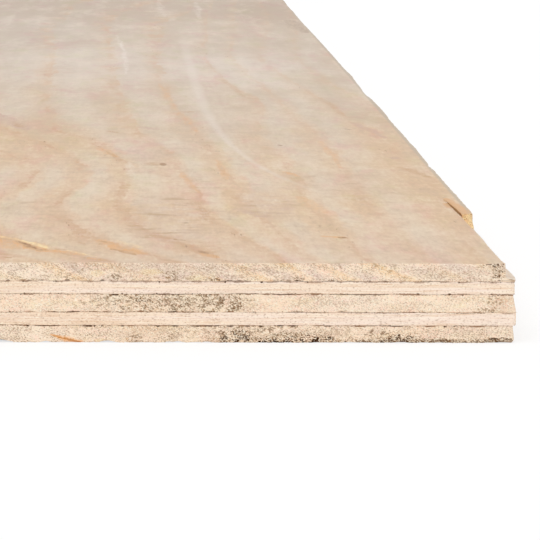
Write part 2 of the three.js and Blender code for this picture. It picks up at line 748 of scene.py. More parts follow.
# %% Knocked corner
CORNER_LOSS = {
    "back_ply": (0.35, 0.8),
    "crossband_lower": (0.05, 0.05),
    "centre_ply": (0.0, 0.85),
    "crossband_upper": (0.5, 0.5),
    "face_ply": (0.0, 0.0),
}
LOSS_REACH = 14.0


def corner_loss(place, facing, name):
    """How much a ply's end has lost at the knocked corner, at its lower and upper side, in mm."""
    low, high = ply_levels(name)
    at_low, at_high = CORNER_LOSS[name]
    share = (place[..., 2] - low) / (high - low)
    faces_right = np.clip(facing[..., 0], 0, 1)
    return (at_low + (at_high - at_low) * share) * faces_right * bell(place[..., 1] - near, LOSS_REACH)


print("most knocked:", max(CORNER_LOSS, key=lambda name: sum(CORNER_LOSS[name])))

# %% [markdown]
# ## What the split left behind
#
# The sliver did not come away clean down to the glue. A skin of it, half a millimetre thick, is still
# stuck to the crossband, so the lowest rows of the face ply go right out to the long edge. The skin is
# nicked in one place and worn back at the corner.

# %% Skin left on the glue
SKIN_THICKNESS, SKIN_EDGE = 0.62, 0.16
SKIN_UNEVEN, SKIN_LUMPS = 0.2, (0.8, 9.0, 50.0)
SKIN_LEAST_LOSS = 0.1
SKIN_LOSS, SKIN_LOSS_REACH = 0.5, 2.5
SKIN_NICK, SKIN_NICK_BACK, SKIN_NICK_REACH = 0.35, 22.0, 9.0


def skin_reach(place, facing, kinds, name):
    """How far the lowest rows of the split wall go out towards the long edge, in mm."""
    above = place[..., 2] - ply_levels(name)[0]
    uneven = SKIN_UNEVEN * lumps(place, SKIN_LUMPS, 44)
    skin = 1 - np.clip((above - SKIN_THICKNESS - uneven) / SKIN_EDGE, 0, 1)
    back = place[..., 1] - near
    lost = SKIN_LEAST_LOSS + SKIN_LOSS * bell(back, SKIN_LOSS_REACH)
    lost += SKIN_NICK * bell(back - SKIN_NICK_BACK, SKIN_NICK_REACH)
    room = right - lost - place[..., 0]
    split = (kinds == "split") & (facing[..., 0] > 0)
    return np.where(split, skin * room * np.clip(2 * facing[..., 0], 0, 1), 0.0)


face_low, face_high = ply_levels("face_ply")
print("skin, share of the face ply's thickness:", round(SKIN_THICKNESS / (face_high - face_low), 2))

# %% [markdown]
# ## Wavy glue lines and a frayed underside
#
# Veneers vary in thickness, so a glue line wanders by a twentieth of a millimetre or so. Both plies
# beside it follow the same wave. The underside has lost chips where the saw came out. A chip is a few
# tenths of a millimetre high at the edge and runs out flat a few millimetres in, so the flat part of
# the veneer starts further in behind it.

# %% Chips
CHIP_SIZES = ((4.0, 0.1, 7), (1.2, 0.1, 8), (0.55, 0.06, 9))
BIG_CHIPS = (
    (117.6, 2.8, 0.8),
    (106.6, 1.2, 0.35),
    (92.7, 1.6, 0.5),
    (79.0, 1.0, 0.25),
    (76.8, 1.2, 0.3),
    (70.2, 1.2, 0.22),
    (0.8, 2.8, 0.5),
)


def flat_place(place):
    return np.concatenate([place, np.zeros((len(place), 1))], axis=1)


def chips(place):
    """How much height the lower arris has lost at each column, in mm."""
    lost = np.zeros(len(place))
    for size, height, seed in CHIP_SIZES:
        lost += height * np.clip(lumps(flat_place(place), (size, size, 1.0), seed), 0, 1)
    for inward, half_width, height in BIG_CHIPS:
        away = np.hypot(right - inward - place[:, 0], place[:, 1] - near)
        lost = np.maximum(lost, height * bell(away, half_width))
    return lost


print("deepest chip, mm:", round(float(chips(whole_walk[0]).max()), 2))

# %% Heights of the rims
GLUE_WAVE = 0.09
LONG_WAVE, LONG_WAVE_SHARE = (17.0, 17.0, 1.0), 0.7
SHORT_WAVE, SHORT_WAVE_SHARE = (3.5, 3.5, 1.0), 0.3
SEEDS_IN_A_MM = 8
FACE_SINK, SINK_LUMPS, SINK_MEAN = 0.08, (1.5, 1.5, 1.0), 0.3
LID_INSET = 0.6
CHIP_RUN = 4.0
SQUARE_CORNER, CHIP_FREE_CORNER = 1.0, 5.0


def rim_shift(place, level):
    """How far a ply's rim is raised at this level: a glue line's wave, or what an outer arris lost."""
    flat = flat_place(place)
    if level == 0.0:
        return chips(place)
    if level == top:
        return -FACE_SINK * np.clip(SINK_MEAN + lumps(flat, SINK_LUMPS, 9), 0, 1)
    seed = int(level * SEEDS_IN_A_MM)
    wave = LONG_WAVE_SHARE * lumps(flat, LONG_WAVE, seed)
    return GLUE_WAVE * (wave + SHORT_WAVE_SHARE * lumps(flat, SHORT_WAVE, seed + 1))


def lid_inset(place, level):
    """How far in from the rim the lid is flat again. A chip runs further in than the plain rim."""
    if level > 0.0:
        return np.full(len(place), LID_INSET)
    corners = [(x, y) for x in (left, right) for y in (near, far)]
    away = np.min([np.hypot(place[:, 0] - x, place[:, 1] - y) for x, y in corners], axis=0)
    return LID_INSET + CHIP_RUN * chips(place) * np.clip((away - SQUARE_CORNER) / CHIP_FREE_CORNER, 0, 1)


print("the lowest lid starts at most this far in, mm:", round(float(lid_inset(whole_walk[0], 0.0).max()), 2))

# %% [markdown]
# ## Splinters
#
# Along every arris a few fibres have lifted and stand out like stubble. Each is a thin three-sided
# spike with its foot sunk into the wood. The longest are on the underside and in the fresh break. They
# matter most against a plain background, where they keep the outline from looking cut with a knife.

# %% One splinter
SPLINTER_HALF_WIDTH = 0.07
SPLINTER_FOOT = 0.12
SPLINTER_SLANT, SPLINTER_LEAN = 0.9, 0.5
BREAK_REACH = 3.0
FLOOR_GUARD = (-math.inf, -math.inf, 0.02)
SPLINTER_LENGTHS = {"inner": 0.35, "top": 0.3, "bottom": 0.9, "snapped": 2.6, "torn": 1.2}
UP = np.array([0.0, 0.0, 1.0])
THREE_SIDES = (0.0, 2 * math.pi / 3, 4 * math.pi / 3)


def splinter_length(level, place, kind):
    """The longest that a splinter grows at this level and place."""
    if kind == "snapped":
        return SPLINTER_LENGTHS["snapped"]
    if 0.0 < level < top:
        return SPLINTER_LENGTHS["inner"]
    if math.dist(place, from_corner(BREAK_END)) < BREAK_REACH:
        return SPLINTER_LENGTHS["torn"]
    return SPLINTER_LENGTHS["bottom" if level == 0.0 else "top"]


def spike(root, out, length, slant, lean):
    """The four corners of one splinter: three round its foot, and its tip."""
    along = np.array([-out[1], out[0], 0.0])
    way = out + SPLINTER_SLANT * (slant - 0.5) * along + SPLINTER_LEAN * (lean - 0.5) * UP
    foot = root - SPLINTER_FOOT * out
    across = np.cross(way, UP)
    across /= np.linalg.norm(across)
    ring = [foot + SPLINTER_HALF_WIDTH * (math.cos(t) * across + math.sin(t) * UP) for t in THREE_SIDES]
    tip = foot + (length + SPLINTER_FOOT) * way
    return [np.maximum(corner, FLOOR_GUARD) for corner in ring + [tip]]


print("longest splinter, mm:", max(SPLINTER_LENGTHS.values()))

# %% The splinters of a ply
SPLINTER_SHARE = 0.13
SPLINTER_LEAST_REACH = 0.3


def splinters(wall, places, facings, kinds, name):
    """Spikes for one ply: their corners, their faces, and the column that each one grows from."""
    low, high = ply_levels(name)
    rows, columns = wall.shape[:2]
    corners, faces, roots = [], [], []
    for row, level in ((0, low), (rows // 2, 0.5 * (low + high)), (rows - 1, high)):
        seed = LAYUP[name][2] * 10 + row
        chance, reach, lean, slant = (lasting_random(columns, seed + k) for k in range(4))
        for column in np.flatnonzero(chance < SPLINTER_SHARE):
            if row == rows // 2 and kinds[column] != "snapped":
                continue
            length = splinter_length(level, places[column], kinds[column])
            length *= SPLINTER_LEAST_REACH + reach[column] ** 2
            out = np.array([*facings[column], 0.0])
            a, b, c, tip = range(len(corners), len(corners) + 4)
            corners += spike(wall[row, column], out, length, slant[column], lean[column])
            faces += [(a, b, tip), (b, c, tip), (c, a, tip), (c, b, a)]
            roots.append(column)
    return np.array(corners), faces, np.array(roots)


print("splinters at a rim: 1 column in", round(1 / SPLINTER_SHARE))

# %% [markdown]
# ## The wall of a ply
#
# The wall is a grid of columns and rows, closer together beside the glue lines. Every point starts on
# the flat plane and is then moved: in or out by the relief, and up or down with the rims.

# %% Wall
ROWS_BY_GLUE = np.array((0.0, 0.05, 0.12, 0.22))
EVEN_ROWS_FROM = 0.4
ROW_STEP = 0.27


def row_heights(low, high):
    inner_low, inner_high = low + EVEN_ROWS_FROM, high - EVEN_ROWS_FROM
    middle = np.linspace(inner_low, inner_high, round((inner_high - inner_low) / ROW_STEP) + 1)
    return np.concatenate([low + ROWS_BY_GLUE, middle, high - ROWS_BY_GLUE[::-1]])


def build_wall(name, places, facings, kinds):
    """The wall of a ply as a grid of points: as planned, and as the saw and the knocks left it."""
    low, high = ply_levels(name)
    heights = row_heights(low, high)
    grid = (len(heights), len(places))
    level = np.broadcast_to(heights[:, None, None], (*grid, 1))
    planned = np.concatenate([np.broadcast_to(places, (*grid, 2)), level], axis=2)
    facing = np.broadcast_to(facings, (*grid, 2))
    depth = wall_relief(planned, facing, kinds, name) + corner_loss(planned, facing, name)
    wall = planned.copy()
    wall[..., :2] -= facing * depth[..., None]
    wall[..., 0] += skin_reach(planned, facing, kinds, name)
    share = ((heights - low) / (high - low))[:, None]
    wall[..., 2] += rim_shift(places, low) * (1 - share) + rim_shift(places, high) * share
    return planned, wall


print("rows in each wall:", [len(row_heights(*ply_levels(ply))) for ply in PLIES])

# %% [markdown]
# ## The whole ply
#
# Each lid is a ring of quads from the rim to a second outline a little way in, where the veneer is
# flat again, and one large flat polygon inside that. Wall, lids and splinters make a single closed
# mesh. The underside faces down, so there the corners of each face run the other way round. Each face
# knows which of four surfaces it is: peeled face, sawn fibre ends, sawn fibre sides, or fresh wood.
# The planned place of every point goes along as a point attribute.

# %% Ply builder
FACE_SLOT, END_SLOT, SIDE_SLOT, FRESH_SLOT = range(4)


def build_ply(name):
    """A closed mesh for one ply."""
    grain, outline, _ = LAYUP[name]
    places, facings, kinds = split_walk if outline is SPLIT_OUTLINE else whole_walk
    planned, wall = build_wall(name, places, facings, kinds)
    rows, columns = wall.shape[:2]
    number = np.arange(columns)
    following = (number + 1) % columns
    end_on = (facings @ grain) ** 2
    wall_slots = np.where(end_on > 0.5, END_SLOT, SIDE_SLOT)
    wall_slots = np.where((kinds == "crack") | (kinds == "snapped"), FRESH_SLOT, wall_slots)
    faces, slots = [], []
    for first in range(0, (rows - 1) * columns, columns):
        a, b = first + number, first + following
        faces += np.stack([a, b, b + columns, a + columns], 1).tolist()
        slots += wall_slots.tolist()

    lids = []
    for row, level in zip((0, rows - 1), ply_levels(name)):
        ring = places - lid_inset(places, level)[:, None] * facings
        rim = row * columns + number
        inner = (rows + len(lids)) * columns + number
        band = np.stack([rim, rim[following], inner[following], inner], 1)
        order = 1 if row else -1
        faces += band[:, ::order].tolist() + [inner[::order].tolist()]
        slots += [FACE_SLOT] * (columns + 1)
        lids.append(np.column_stack([ring, np.full(columns, level)]))

    spikes, spike_faces, roots = splinters(wall, places, facings, kinds, name)
    first = (rows + len(lids)) * columns
    faces += [tuple(first + corner for corner in face) for face in spike_faces]
    slots += np.repeat(wall_slots[roots], 4).tolist()

    mesh = bpy.data.meshes.new(name + "_veneer")
    mesh.from_pydata((np.concatenate([wall.reshape(-1, 3), *lids, spikes]) * MM).tolist(), [], faces)
    mesh.polygons.foreach_set("material_index", slots)
    mesh.polygons.foreach_set("use_smooth", np.arange(len(faces)) < (rows - 1) * columns)
    x, y, z = np.concatenate([planned.reshape(-1, 3), *lids, spikes]).T
    sawn_places = np.column_stack([right - x, y - near, z])
    mesh.attributes.new(PLACE_NAME, "FLOAT_VECTOR", "POINT").data.foreach_set("vector", sawn_places.ravel())
    mesh.update()
    return mesh


print("surfaces of a ply:", FRESH_SLOT + 1)

# %% [markdown]
# ## Growth rings
#
# A log is peeled against a long knife, and the knife crosses each growth ring at a very small angle.
# That is why plywood shows wide wandering loops where a plank would show straight lines. Every ring has
# pale early wood that slowly turns into darker late wood and then stops short.
#
# The rings are made as one solid field: a ring number at each point of the wood, counted down through
# the thickness. Where that field meets the face it draws loops, and where it meets the sawn edge it
# draws the slanting bands of the same rings, so face and edge agree. By the corner eight ring lines
# run where a joiner would pencil them in: each is a row of points, so many millimetres back from the
# near edge and so many in from the long edge. Between two lines the ring number goes up by one.

# %% Pencilled ring lines
RING_LINES = (
    (
        (0, 9), (60, 6), (130, 3.6), (170, 3), (195, 8), (220, 7.5), (275, 6.5), (315, 12),
        (380, 16), (455, 23), (600, 33),
    ),
    (
        (0, 20), (50, 22.5), (105, 25.5), (145, 25.5), (190, 26), (240, 26.5), (290, 29),
        (380, 33), (600, 46),
    ),
    (
        (0, 33), (53, 37), (87, 38), (98, 40.5), (119, 41.5), (146, 40), (202, 42.5),
        (269, 46.5), (407, 41), (450, 47), (600, 56),
    ),
    (
        (0, 45), (16, 49), (47, 50.5), (80, 54.5), (92, 58), (114, 60.5), (141, 58.5),
        (196, 61.5), (236, 62), (306, 68), (382, 72.5), (600, 76),
    ),
    (
        (0, 52), (21, 55.5), (43, 60.5), (74, 67), (94, 69.5), (132, 69.5), (188, 74),
        (230, 75.5), (250, 81), (306, 86), (600, 94),
    ),
    (
        (0, 65), (31, 76), (62, 86), (83, 89), (114, 91), (140, 89.5), (177, 89),
        (213, 91.5), (264, 100), (291, 110), (382, 116), (600, 118),
    ),
    (
        (0, 76), (20, 87.5), (44, 97), (105, 105.5), (142, 102), (167, 100), (195, 101.5),
        (221, 106), (269, 119), (300, 128), (600, 142),
    ),
    (
        (0, 93), (18, 105), (44, 119), (90, 126), (117, 122), (155, 115), (176, 114),
        (194, 115), (228, 126.5), (300, 150), (600, 168),
    ),
)
LINES_BACK, LINES_IN = 600.0, 200.0
USUAL_RING = 15.0
OPEN_RINGS_IN, OPEN_RING_SHARE = 240.0, 0.12
LAST_LINE_SETTLES_AT, LAST_LINE_SETTLES = 150.0, (165.0, 480.0)


def curve_through(position, points, reach, height):
    """A smooth curve through points. Reach and height are the largest numbers it has to hold."""
    node = position.tree.nodes.new("ShaderNodeFloatCurve")
    curve = node.mapping.curves[0]
    places = [(x / reach, y / height) for x, y in points]
    curve.points[0].location, curve.points[1].location = places[0], places[-1]
    for place in places[1:-1]:
        curve.points.new(*place)
    node.mapping.update()
    plug(node.inputs["Value"], position / reach)
    return Wire(node.outputs[0]) * height


def pencilled_rings(inward, back):
    """The ring number that the lines give. Past the last one the rings go on, and then open out."""
    along = at_most(at_least(back, 0.0), LINES_BACK)
    lines = [curve_through(along, points, LINES_BACK, LINES_IN) for points in RING_LINES]
    across = at_most(inward, OPEN_RINGS_IN) + at_least(inward - OPEN_RINGS_IN, 0.0) * OPEN_RING_SHARE
    settled = ramp(inward, *LAST_LINE_SETTLES)
    last_line = lines[-1] * (1.0 - settled) + LAST_LINE_SETTLES_AT * settled
    rings = (at_most(inward - lines[0], 0.0) + at_least(across - last_line, 0.0)) / USUAL_RING
    for line, next_line in zip(lines, lines[1:]):
        rings = rings + add_node("MapRange", (inward, line, next_line))
    return rings


print("ring lines:", len(RING_LINES), "with", sum(map(len, RING_LINES)), "points")

# %% [markdown]
# ## Rings everywhere
#
# Away from the pencilled lines a broad noise bends the rings, and a small one makes every line
# tremble. The fraction of the ring number says how old the wood of that ring is: first early wood,
# last late wood, darkest at its core just before it stops.

# %% Growth rings group
LINE_AT = 0.87
RING_DEPTH = 5.5
UNDRAWN_IN, UNDRAWN_BACK = (165.0, 330.0), (520.0, 950.0)
DRAWN_SEED = 31.0
LATE_WOOD, LATE_CORE, EARLY_WOOD = (0.5, 0.84, 0.9, 1.0), (0.75, 0.86, 0.9, 0.97), (0.0, 0.14, 0.3, 0.62)


def rings_group():
    inputs = {"Place": (0, 0, 0), "Seed": 0.0, "Traced": 0.0}
    wires, finish = new_group("Growth rings", inputs, ["Latewood", "Core", "Early"])
    place, seed, traced = wires.values()
    inward, back, height = split_place(place)
    apart = seed + traced * DRAWN_SEED
    bends = sway(place, (190, 1500, 90), apart, 11.0, 1.0)
    bends = bends + sway(place, (55, 420, 50), apart + 3.0, 2.6, 1.0)
    wobble = sway(place, (12, 45, 12), seed + 7.0, 0.34) + sway(place, (2.8, 12, 2.2), seed + 8.0, 0.36)
    undrawn = at_least(ramp(inward, *UNDRAWN_IN), ramp(back, *UNDRAWN_BACK))
    undrawn = at_least(undrawn, 1.0 - traced)
    ring = bends * undrawn + wobble + (height - top) / RING_DEPTH + LINE_AT
    ring = ring - pencilled_rings(inward, back) * traced
    age = maths("FRACT", ring)
    return finish(Latewood=hump(age, *LATE_WOOD), Core=hump(age, *LATE_CORE), Early=hump(age, *EARLY_WOOD))


RINGS = rings_group()

# %% [markdown]
# ## Fibres
#
# Along the grain a peeled face has streaks of two sizes: hair-fine ones where the knife opened single
# fibres, and soft ones a few millimetres wide. Short dark dashes are resin ducts cut open. Across the
# grain the knife chatters and leaves faint ripples a millimetre or so apart.

# %% Fibres group
FIBRE_NOISES = {
    "Fine": ((0.45, 34, 0.45), 0.0, 2.0, 0.5),
    "Wide": ((6.5, 240, 5), 1.0, 2.0, 0.5),
    "Chatter": ((8.0, 4.5, 0.8), 4.0, 2.0, 0.5),
    "Mottle": ((6, 22, 4), 6.0, 2.0, 0.6),
    "Grain": ((1.6, 7, 1.2), 8.0, 3.0, 0.65),
}


def fibres_group():
    outputs = [*FIBRE_NOISES, "Dashes", "Lines", "Hue"]
    wires, finish = new_group("Fibres", {"Place": (0, 0, 0), "Seed": 0.0}, outputs)
    place, seed = wires.values()
    plain = {
        name: noise(place, size, seed + step, detail, roughness)
        for name, (size, step, detail, roughness) in FIBRE_NOISES.items()
    }
    patches = ramp(noise(place, (22, 60, 8), seed + 2.0, 1.0), 0.5, 0.68)
    dashes = ramp(noise(place, (0.8, 7.5, 0.6), seed + 3.0, 1.0), 0.66, 0.78) * patches
    lines = ramp(noise(place, (8.0, 5.0, 0.8), seed + 7.0), 0.5, 0.74)
    hue = noise(place, (4.2, 16, 3), seed + 9.0, 3.0, 0.6) + noise(place, (15, 60, 8), seed + 10.0, 1.0)
    return finish(Dashes=dashes, Lines=lines, Hue=hue - 1.0, **plain)


FIBRES = fibres_group()

# %% [markdown]
# ## Cut ends
#
# Sawn across, wood is a bundle of drinking straws seen from the end, and the blade leaves them torn.
# Up close that is a speckle of dark pits and pale flecks less than half a millimetre across. The pits
# are dented and painted darker, partly as the shade inside them, and the raised flecks are painted
# paler, partly as highlight. The speckle is drawn out along the grain, so that it is the same bundle
# of fibres all the way through.
# Thin slanting lines are the wood's rays.

# %% Cut ends group
END_FIBRE = (0.42, 12, 0.2)


def cut_ends_group():
    outputs = ["Pits", "Flecks", "Rays", "Cloud"]
    wires, finish = new_group("Cut ends", {"Place": (0, 0, 0), "Seed": 0.0, "Slant": 0.0}, outputs)
    place, seed, slant = wires.values()
    slanted = leaning(place, slant)
    patches = sway(place, (5.0, 60, 2.2), seed + 1.0, 0.35)
    return finish(
        Pits=ramp(noise(slanted, END_FIBRE, seed, 1.0, 0.6) + patches, 0.54, 0.66),
        Flecks=ramp(noise(slanted, END_FIBRE, seed + 2.0, 1.0, 0.6), 0.52, 0.64),
        Rays=noise(slanted, (1.9, 12, 0.2), seed + 3.0),
        Cloud=noise(place, (8, 90, 2.5), seed + 4.0),
    )


CUT_ENDS = cut_ends_group()

# %% [markdown]
# ## Glue lines
#
# The glue between two plies is a brown line hardly a tenth of a millimetre thick. On a sawn edge it
# shows in stretches, because wood crumbles beside it, and here and there a gap holds a dark shadow.

# %% Glue line group
GLUE_THINNEST, GLUE_SWELL = 0.02, 0.2


def glue_group():
    inputs = {"Place": (0, 0, 0), "Seed": 0.0, "Low": 0.0, "High": 1.0}
    wires, finish = new_group("Glue line", inputs, ["Line", "Gap"])
    place, seed, low, high = wires.values()
    height = split_place(place)[2]
    distance = at_most(height - low, high - height)
    stretch = noise(place, (3.4, 3.4, 6), seed, 3.0)
    ragged = sway(place, (0.45, 0.45, 6), seed + 1.0, 0.6, 1.0)
    thickness = GLUE_THINNEST + GLUE_SWELL * ramp(stretch + ragged, 0.42, 0.7)
    line = ramp(distance - thickness, -0.04, 0.07, 1.0, 0.0)
    bubble = ramp(noise(place, (0.8, 0.8, 6), seed + 2.0, 1.0), 0.62, 0.76)
    gap = ramp(distance - 0.3 * bubble, -0.14, 0.04, 1.0, 0.0) * bubble
    return finish(Line=line * ramp(stretch, 0.34, 0.58, 0.15, 1.0), Gap=gap)


GLUE = glue_group()

# %% [markdown]
# ## Marks along a line
#
# Resin streaks, pale scratches and the bruised wood by the break each lie along a short straight line.
# One group measures how far a point is from such a line, and gives a soft mark that thins out at both
# ends. A little noise fed to `Rough` frays it.

# %% Mark group
THIN_END, SWELL_TO_MIDDLE = 0.45, 2.2


def mark_group():
    inputs = {"Place": (0, 0, 0), "Start": (0, 0, 0), "End": (0, 0, 1), "Width": 1.0, "Rough": 0.0}
    wires, finish = new_group("Mark", inputs, ["Mark"])
    place, start, end, width, rough = wires.values()
    span = vector_maths("SUBTRACT", end, start)
    offset = vector_maths("SUBTRACT", place, start)
    along = at_most(at_least(dot(offset, span) / dot(span, span), 0.0), 1.0)
    nearest = vector_maths("MULTIPLY", span, join_place(along, along, along))
    distance = length_of(vector_maths("SUBTRACT", offset, nearest))
    taper = THIN_END + SWELL_TO_MIDDLE * along * (1.0 - along)
    return finish(Mark=ramp(distance / (width * taper) + rough, 0.25, 1.15, 1.0, 0.0))


MARK = mark_group()


def mark_along(place, start, end, width, rough):
    """The mask of one mark in a material."""
    return use(MARK, place, Start=start, End=end, Width=width, Rough=rough)["Mark"]


# %% [markdown]
# ## Mould and dirt
#
# Damp has left olive-brown specks on the sawn edge. They sit close together in the middle of a patch
# and scatter towards its rim, and most lie low down, where the sheet has stood in the wet. A patch is
# an egg-shaped region with a centre and a reach. Further patches turn up by chance along every edge.

# %% Mould group
def egg(place, centre, reach):
    """1 in the middle of an egg-shaped region, 0 on its skin, and less than 0 outside it."""
    offset = vector_maths("DIVIDE", vector_maths("SUBTRACT", place, centre), reach)
    return 1.0 - dot(offset, offset)


def mould_group():
    inputs = {"Place": (0, 0, 0), "Centre": (0, 0, 0), "Reach": (1, 1, 1)}
    inputs |= {"Chance": 0.0, "Seed": 0.0, "Slant": 0.0, "Dense": 0.0}
    wires, finish = new_group("Mould", inputs, ["Specks", "Rims", "Flecks", "Halo"])
    place, centre, reach, chance, seed, slant, dense = wires.values()
    by_chance = (noise(place, (48, 48, 5), seed + 1.0, 1.0) - 0.8 + chance * 0.2) * 4.0
    body = at_most(at_least(egg(place, centre, reach), by_chance), 1.0)
    specks = noise(leaning(place, slant), (0.5, 12, 0.3), seed, 2.0, 0.7)
    clumps = ramp(noise(place, (1.7, 12, 1.0), seed + 2.0) + body * 0.1, 0.48, 0.7)
    crowd = specks + clumps * 0.17 + dense
    inside = ramp(body, -0.4, 0.15)
    return finish(
        Specks=ramp(crowd, 0.63, 0.71) * inside,
        Rims=ramp(crowd, 0.58, 0.66) * inside,
        Flecks=ramp(specks, 0.5, 0.42) * (0.5 + 0.5 * clumps) * inside,
        Halo=clumps * inside,
    )


MOULD = mould_group()

# %% [markdown]
# ## The peeled face: what its coats share
#
# Pale warm wood, with the loops of late wood only a little darker, and every line broken up by the
# fibres. The face is warm near the corner and greyer further along, where it has been out in the
# light. Its colour is built up in coats: each is a mask, times a number that says how strong the coat
# is, and a tone. The coats share a few patterns: how grey the wood is, how calm its figure, how
# rippled by the knife. They are kept together in one small class. A `traced` face is the upper one,
# with the pencilled rings and the marks given one by one.

# %% Shared patterns of a face
PATCHES_GROW, GREY_GROWS = (80.0, 500.0), (60.0, 640.0)
GREYEST_IN, GREYEST_BACK = (150.0, 700.0), (950.0, 2000.0)
RAGGED_IN, RAGGED_BY = (150.0, 600.0), 900.0
CALM_IN, CALM_BACK = (180.0, 420.0), (950.0, 1400.0)
FAINT_IN = (30.0, 95.0)
CHATTERED = ((on_face(78, 75), (12, 62, 9)), (on_face(52, 108), (9, 40, 9)))


class PeeledFace:
    """The wires that all the coats of one peeled face share."""

    def __init__(self, place, seed, traced):
        self.place, self.seed, self.traced = place, seed, traced
        self.inward, self.back, _ = split_place(place)
        self.rings = use(RINGS, place, Seed=seed, Traced=traced)
        self.fibres = use(FIBRES, place, Seed=seed)
        self.calm, self.faint = 1.0, 1.0
        if traced:
            self.calm = at_least(ramp(self.inward, *CALM_IN), ramp(self.back, *CALM_BACK))
            self.faint = ramp(self.inward, *FAINT_IN, 0.5, 1.0)
        broken = ramp(self.noise((8, 24, 6), 14.0, 3.0), 0.38, 0.58, 0.25, 1.0)
        self.broken = at_least(broken, 0.8 * self.calm)
        self.grey = at_most(self.weathering(), 1.0)
        self.chattered = ramp(self.noise((26, 60, 9), 12.0), 0.5, 0.68) * 0.5
        for centre, reach in CHATTERED if traced else ():
            self.chattered = at_least(self.chattered, ramp(egg(place, centre, reach), 0.0, 0.7))
        self.grit = self.noise((0.8, 3.2, 0.6), 16.0, 1.0)

    def noise(self, size, step, detail=2.0, roughness=0.5):
        return noise(self.place, size, self.seed + step, detail, roughness)

    def weathering(self):
        """How grey the wood has gone: in patches, and on a traced face more of them further back."""
        patches = ramp(self.noise((190, 700, 60), 11.0), 0.35, 0.65) * 0.5
        if not self.traced:
            return patches
        ragged = (self.noise((280, 280, 60), 22.0, 1.0) - 0.5) * ramp(self.inward, *RAGGED_IN) * RAGGED_BY
        grey = patches * ramp(self.back, *PATCHES_GROW, 0.1, 1.0)
        grey = grey + ramp(self.back + ragged, *GREY_GROWS) * 0.8
        return grey * ramp(self.inward, *GREYEST_IN, 1.0, 0.5) * ramp(self.back, *GREYEST_BACK, 1.0, 0.6)


print("chattered patches by the corner:", len(CHATTERED))

# %% [markdown]
# ## The peeled face: wood and figure
#
# Early wood comes first, then old stains and the greying, then the loops of late wood, and last the
# slow swings between rosy and olive that keep bare wood from looking painted.

# %% Wood and figure of the face
YELLOW_FACE, CREAM_FACE = tone(218, 188, 153), tone(218, 191, 164)
GREY_FACE, COOL_FACE = tone(197, 181, 165), tone(218, 200, 176)
LATE_FACE, CORE_FACE = tone(212, 179, 145), tone(200, 160, 125)
HAZE, TAN, DUSK = tone(228, 216, 206), tone(210, 174, 134), tone(180, 158, 138)
OLIVE, ROSE = tone(192, 174, 140), tone(210, 180, 158)
BROWN, DARK = tone(188, 146, 104), tone(150, 108, 66)
ROSY_TINT, OLIVE_TINT = (1.0, 0.9, 0.95, 1.0), (0.96, 1.0, 0.9, 1.0)
STAIN_DEPTH = 20.0
STAINS_ON_FACE = (
    (TAN, (0, 190), (26, 230), 0.5),
    (TAN, (122, 255), (32, 90), 0.55),
    (TAN, (116, 12), (42, 46), 0.35),
    (TAN, (95, 70), (17, 46), 0.25),
    (TAN, (75, 78), (16, 40), 0.25),
    (ROSE, (42, 14), (50, 60), 0.3),
    (TAN, (52, 100), (9, 40), 0.35),
    (TAN, (28, 112), (9, 40), 0.35),
    (TAN, (72, 26), (10, 16), 0.5),
    (CORE_FACE, (117, 12), (4, 9), 0.4),
    (CORE_FACE, (98, 42), (7, 12), 0.4),
    (DUSK, (85, 960), (130, 170), 0.4),
    (DUSK, (12, 900), (32, 130), 0.5),
    (HAZE, (100, 560), (60, 130), 0.3),
    (HAZE, (38, 540), (34, 120), 0.35),
    (OLIVE, (8, 345), (9, 34), 0.4),
    (OLIVE, (18, 500), (14, 50), 0.3),
    (OLIVE, (115, 300), (14, 60), 0.25),
    (BROWN, (80.6, 198), (3.4, 6), 0.5),
    (DARK, (77.8, 197), (1.3, 5), 0.8),
    (DARK, (91.9, 217), (0.9, 4.5), 0.7),
)


def tinted(colour, rosy, olive):
    """A colour dyed a little rosy through one mask and a little olive through another."""
    colour = blend(rosy, colour, ROSY_TINT, "MULTIPLY")
    return blend(olive, colour, OLIVE_TINT, "MULTIPLY")


def early_wood(face):
    soft = ramp(face.noise((20, 55, 9), 13.0, 3.0), 0.35, 0.65)
    colour = paint(
        blend(soft, YELLOW_FACE, CREAM_FACE),
        (face.rings["Early"] * (1.2 - 0.6 * face.broken) * 0.8, COOL_FACE),
        (face.grey, GREY_FACE),
    )
    for shade, at, reach, strength in STAINS_ON_FACE if face.traced else ():
        stain = egg(face.place, on_face(*at), (*reach, STAIN_DEPTH))
        colour = blend(ramp(stain, 0.0, 0.9) * strength, colour, shade)
    return colour


def late_wood(face, colour):
    clear = 1.0 - (0.7 - 0.3 * face.calm) * face.grey
    showing = face.broken * clear * face.faint * (1.0 + 0.7 * face.calm)
    feathered = ramp(face.fibres["Grain"] + face.fibres["Mottle"] * 0.8, 0.68, 1.04, 0.2, 1.0)
    smudge = face.noise((110, 230, 60), 23.0, 3.0)
    colour = paint(
        colour,
        (ramp(smudge, 0.54, 0.72) * face.calm * 0.3, DUSK),
        (ramp(smudge, 0.46, 0.3) * face.calm * 0.35, HAZE),
        (face.rings["Latewood"] * showing * 0.72, LATE_FACE),
        (face.rings["Core"] * showing * feathered * 0.95, CORE_FACE),
    )
    hue = face.fibres["Hue"]
    return tinted(colour, ramp(hue, 0.02, 0.33), ramp(hue, -0.04, -0.38))


print("stains:", len(STAINS_ON_FACE))

# %% [markdown]
# ## The peeled face: fibres and the knife
#
# Many small patterns swing about nothing and are added up. Where the sum is above nothing the wood
# turns pale, where it is below it turns deep. Grey wood shows less of the fine ones and more of the
# blotches, because weather wears fibres down and stains them unevenly.

# %% Fibres and knife marks of the face
MAUVE_FACE, LINE_FACE = tone(200, 170, 150), tone(180, 144, 106)
PALE_STREAK, PALE_GREY = tone(230, 212, 187), tone(226, 212, 197)
DEEP_FACE, DEEP_GREY = tone(187, 158, 130), tone(184, 165, 146)
DARK_DASH = tone(150, 108, 78)


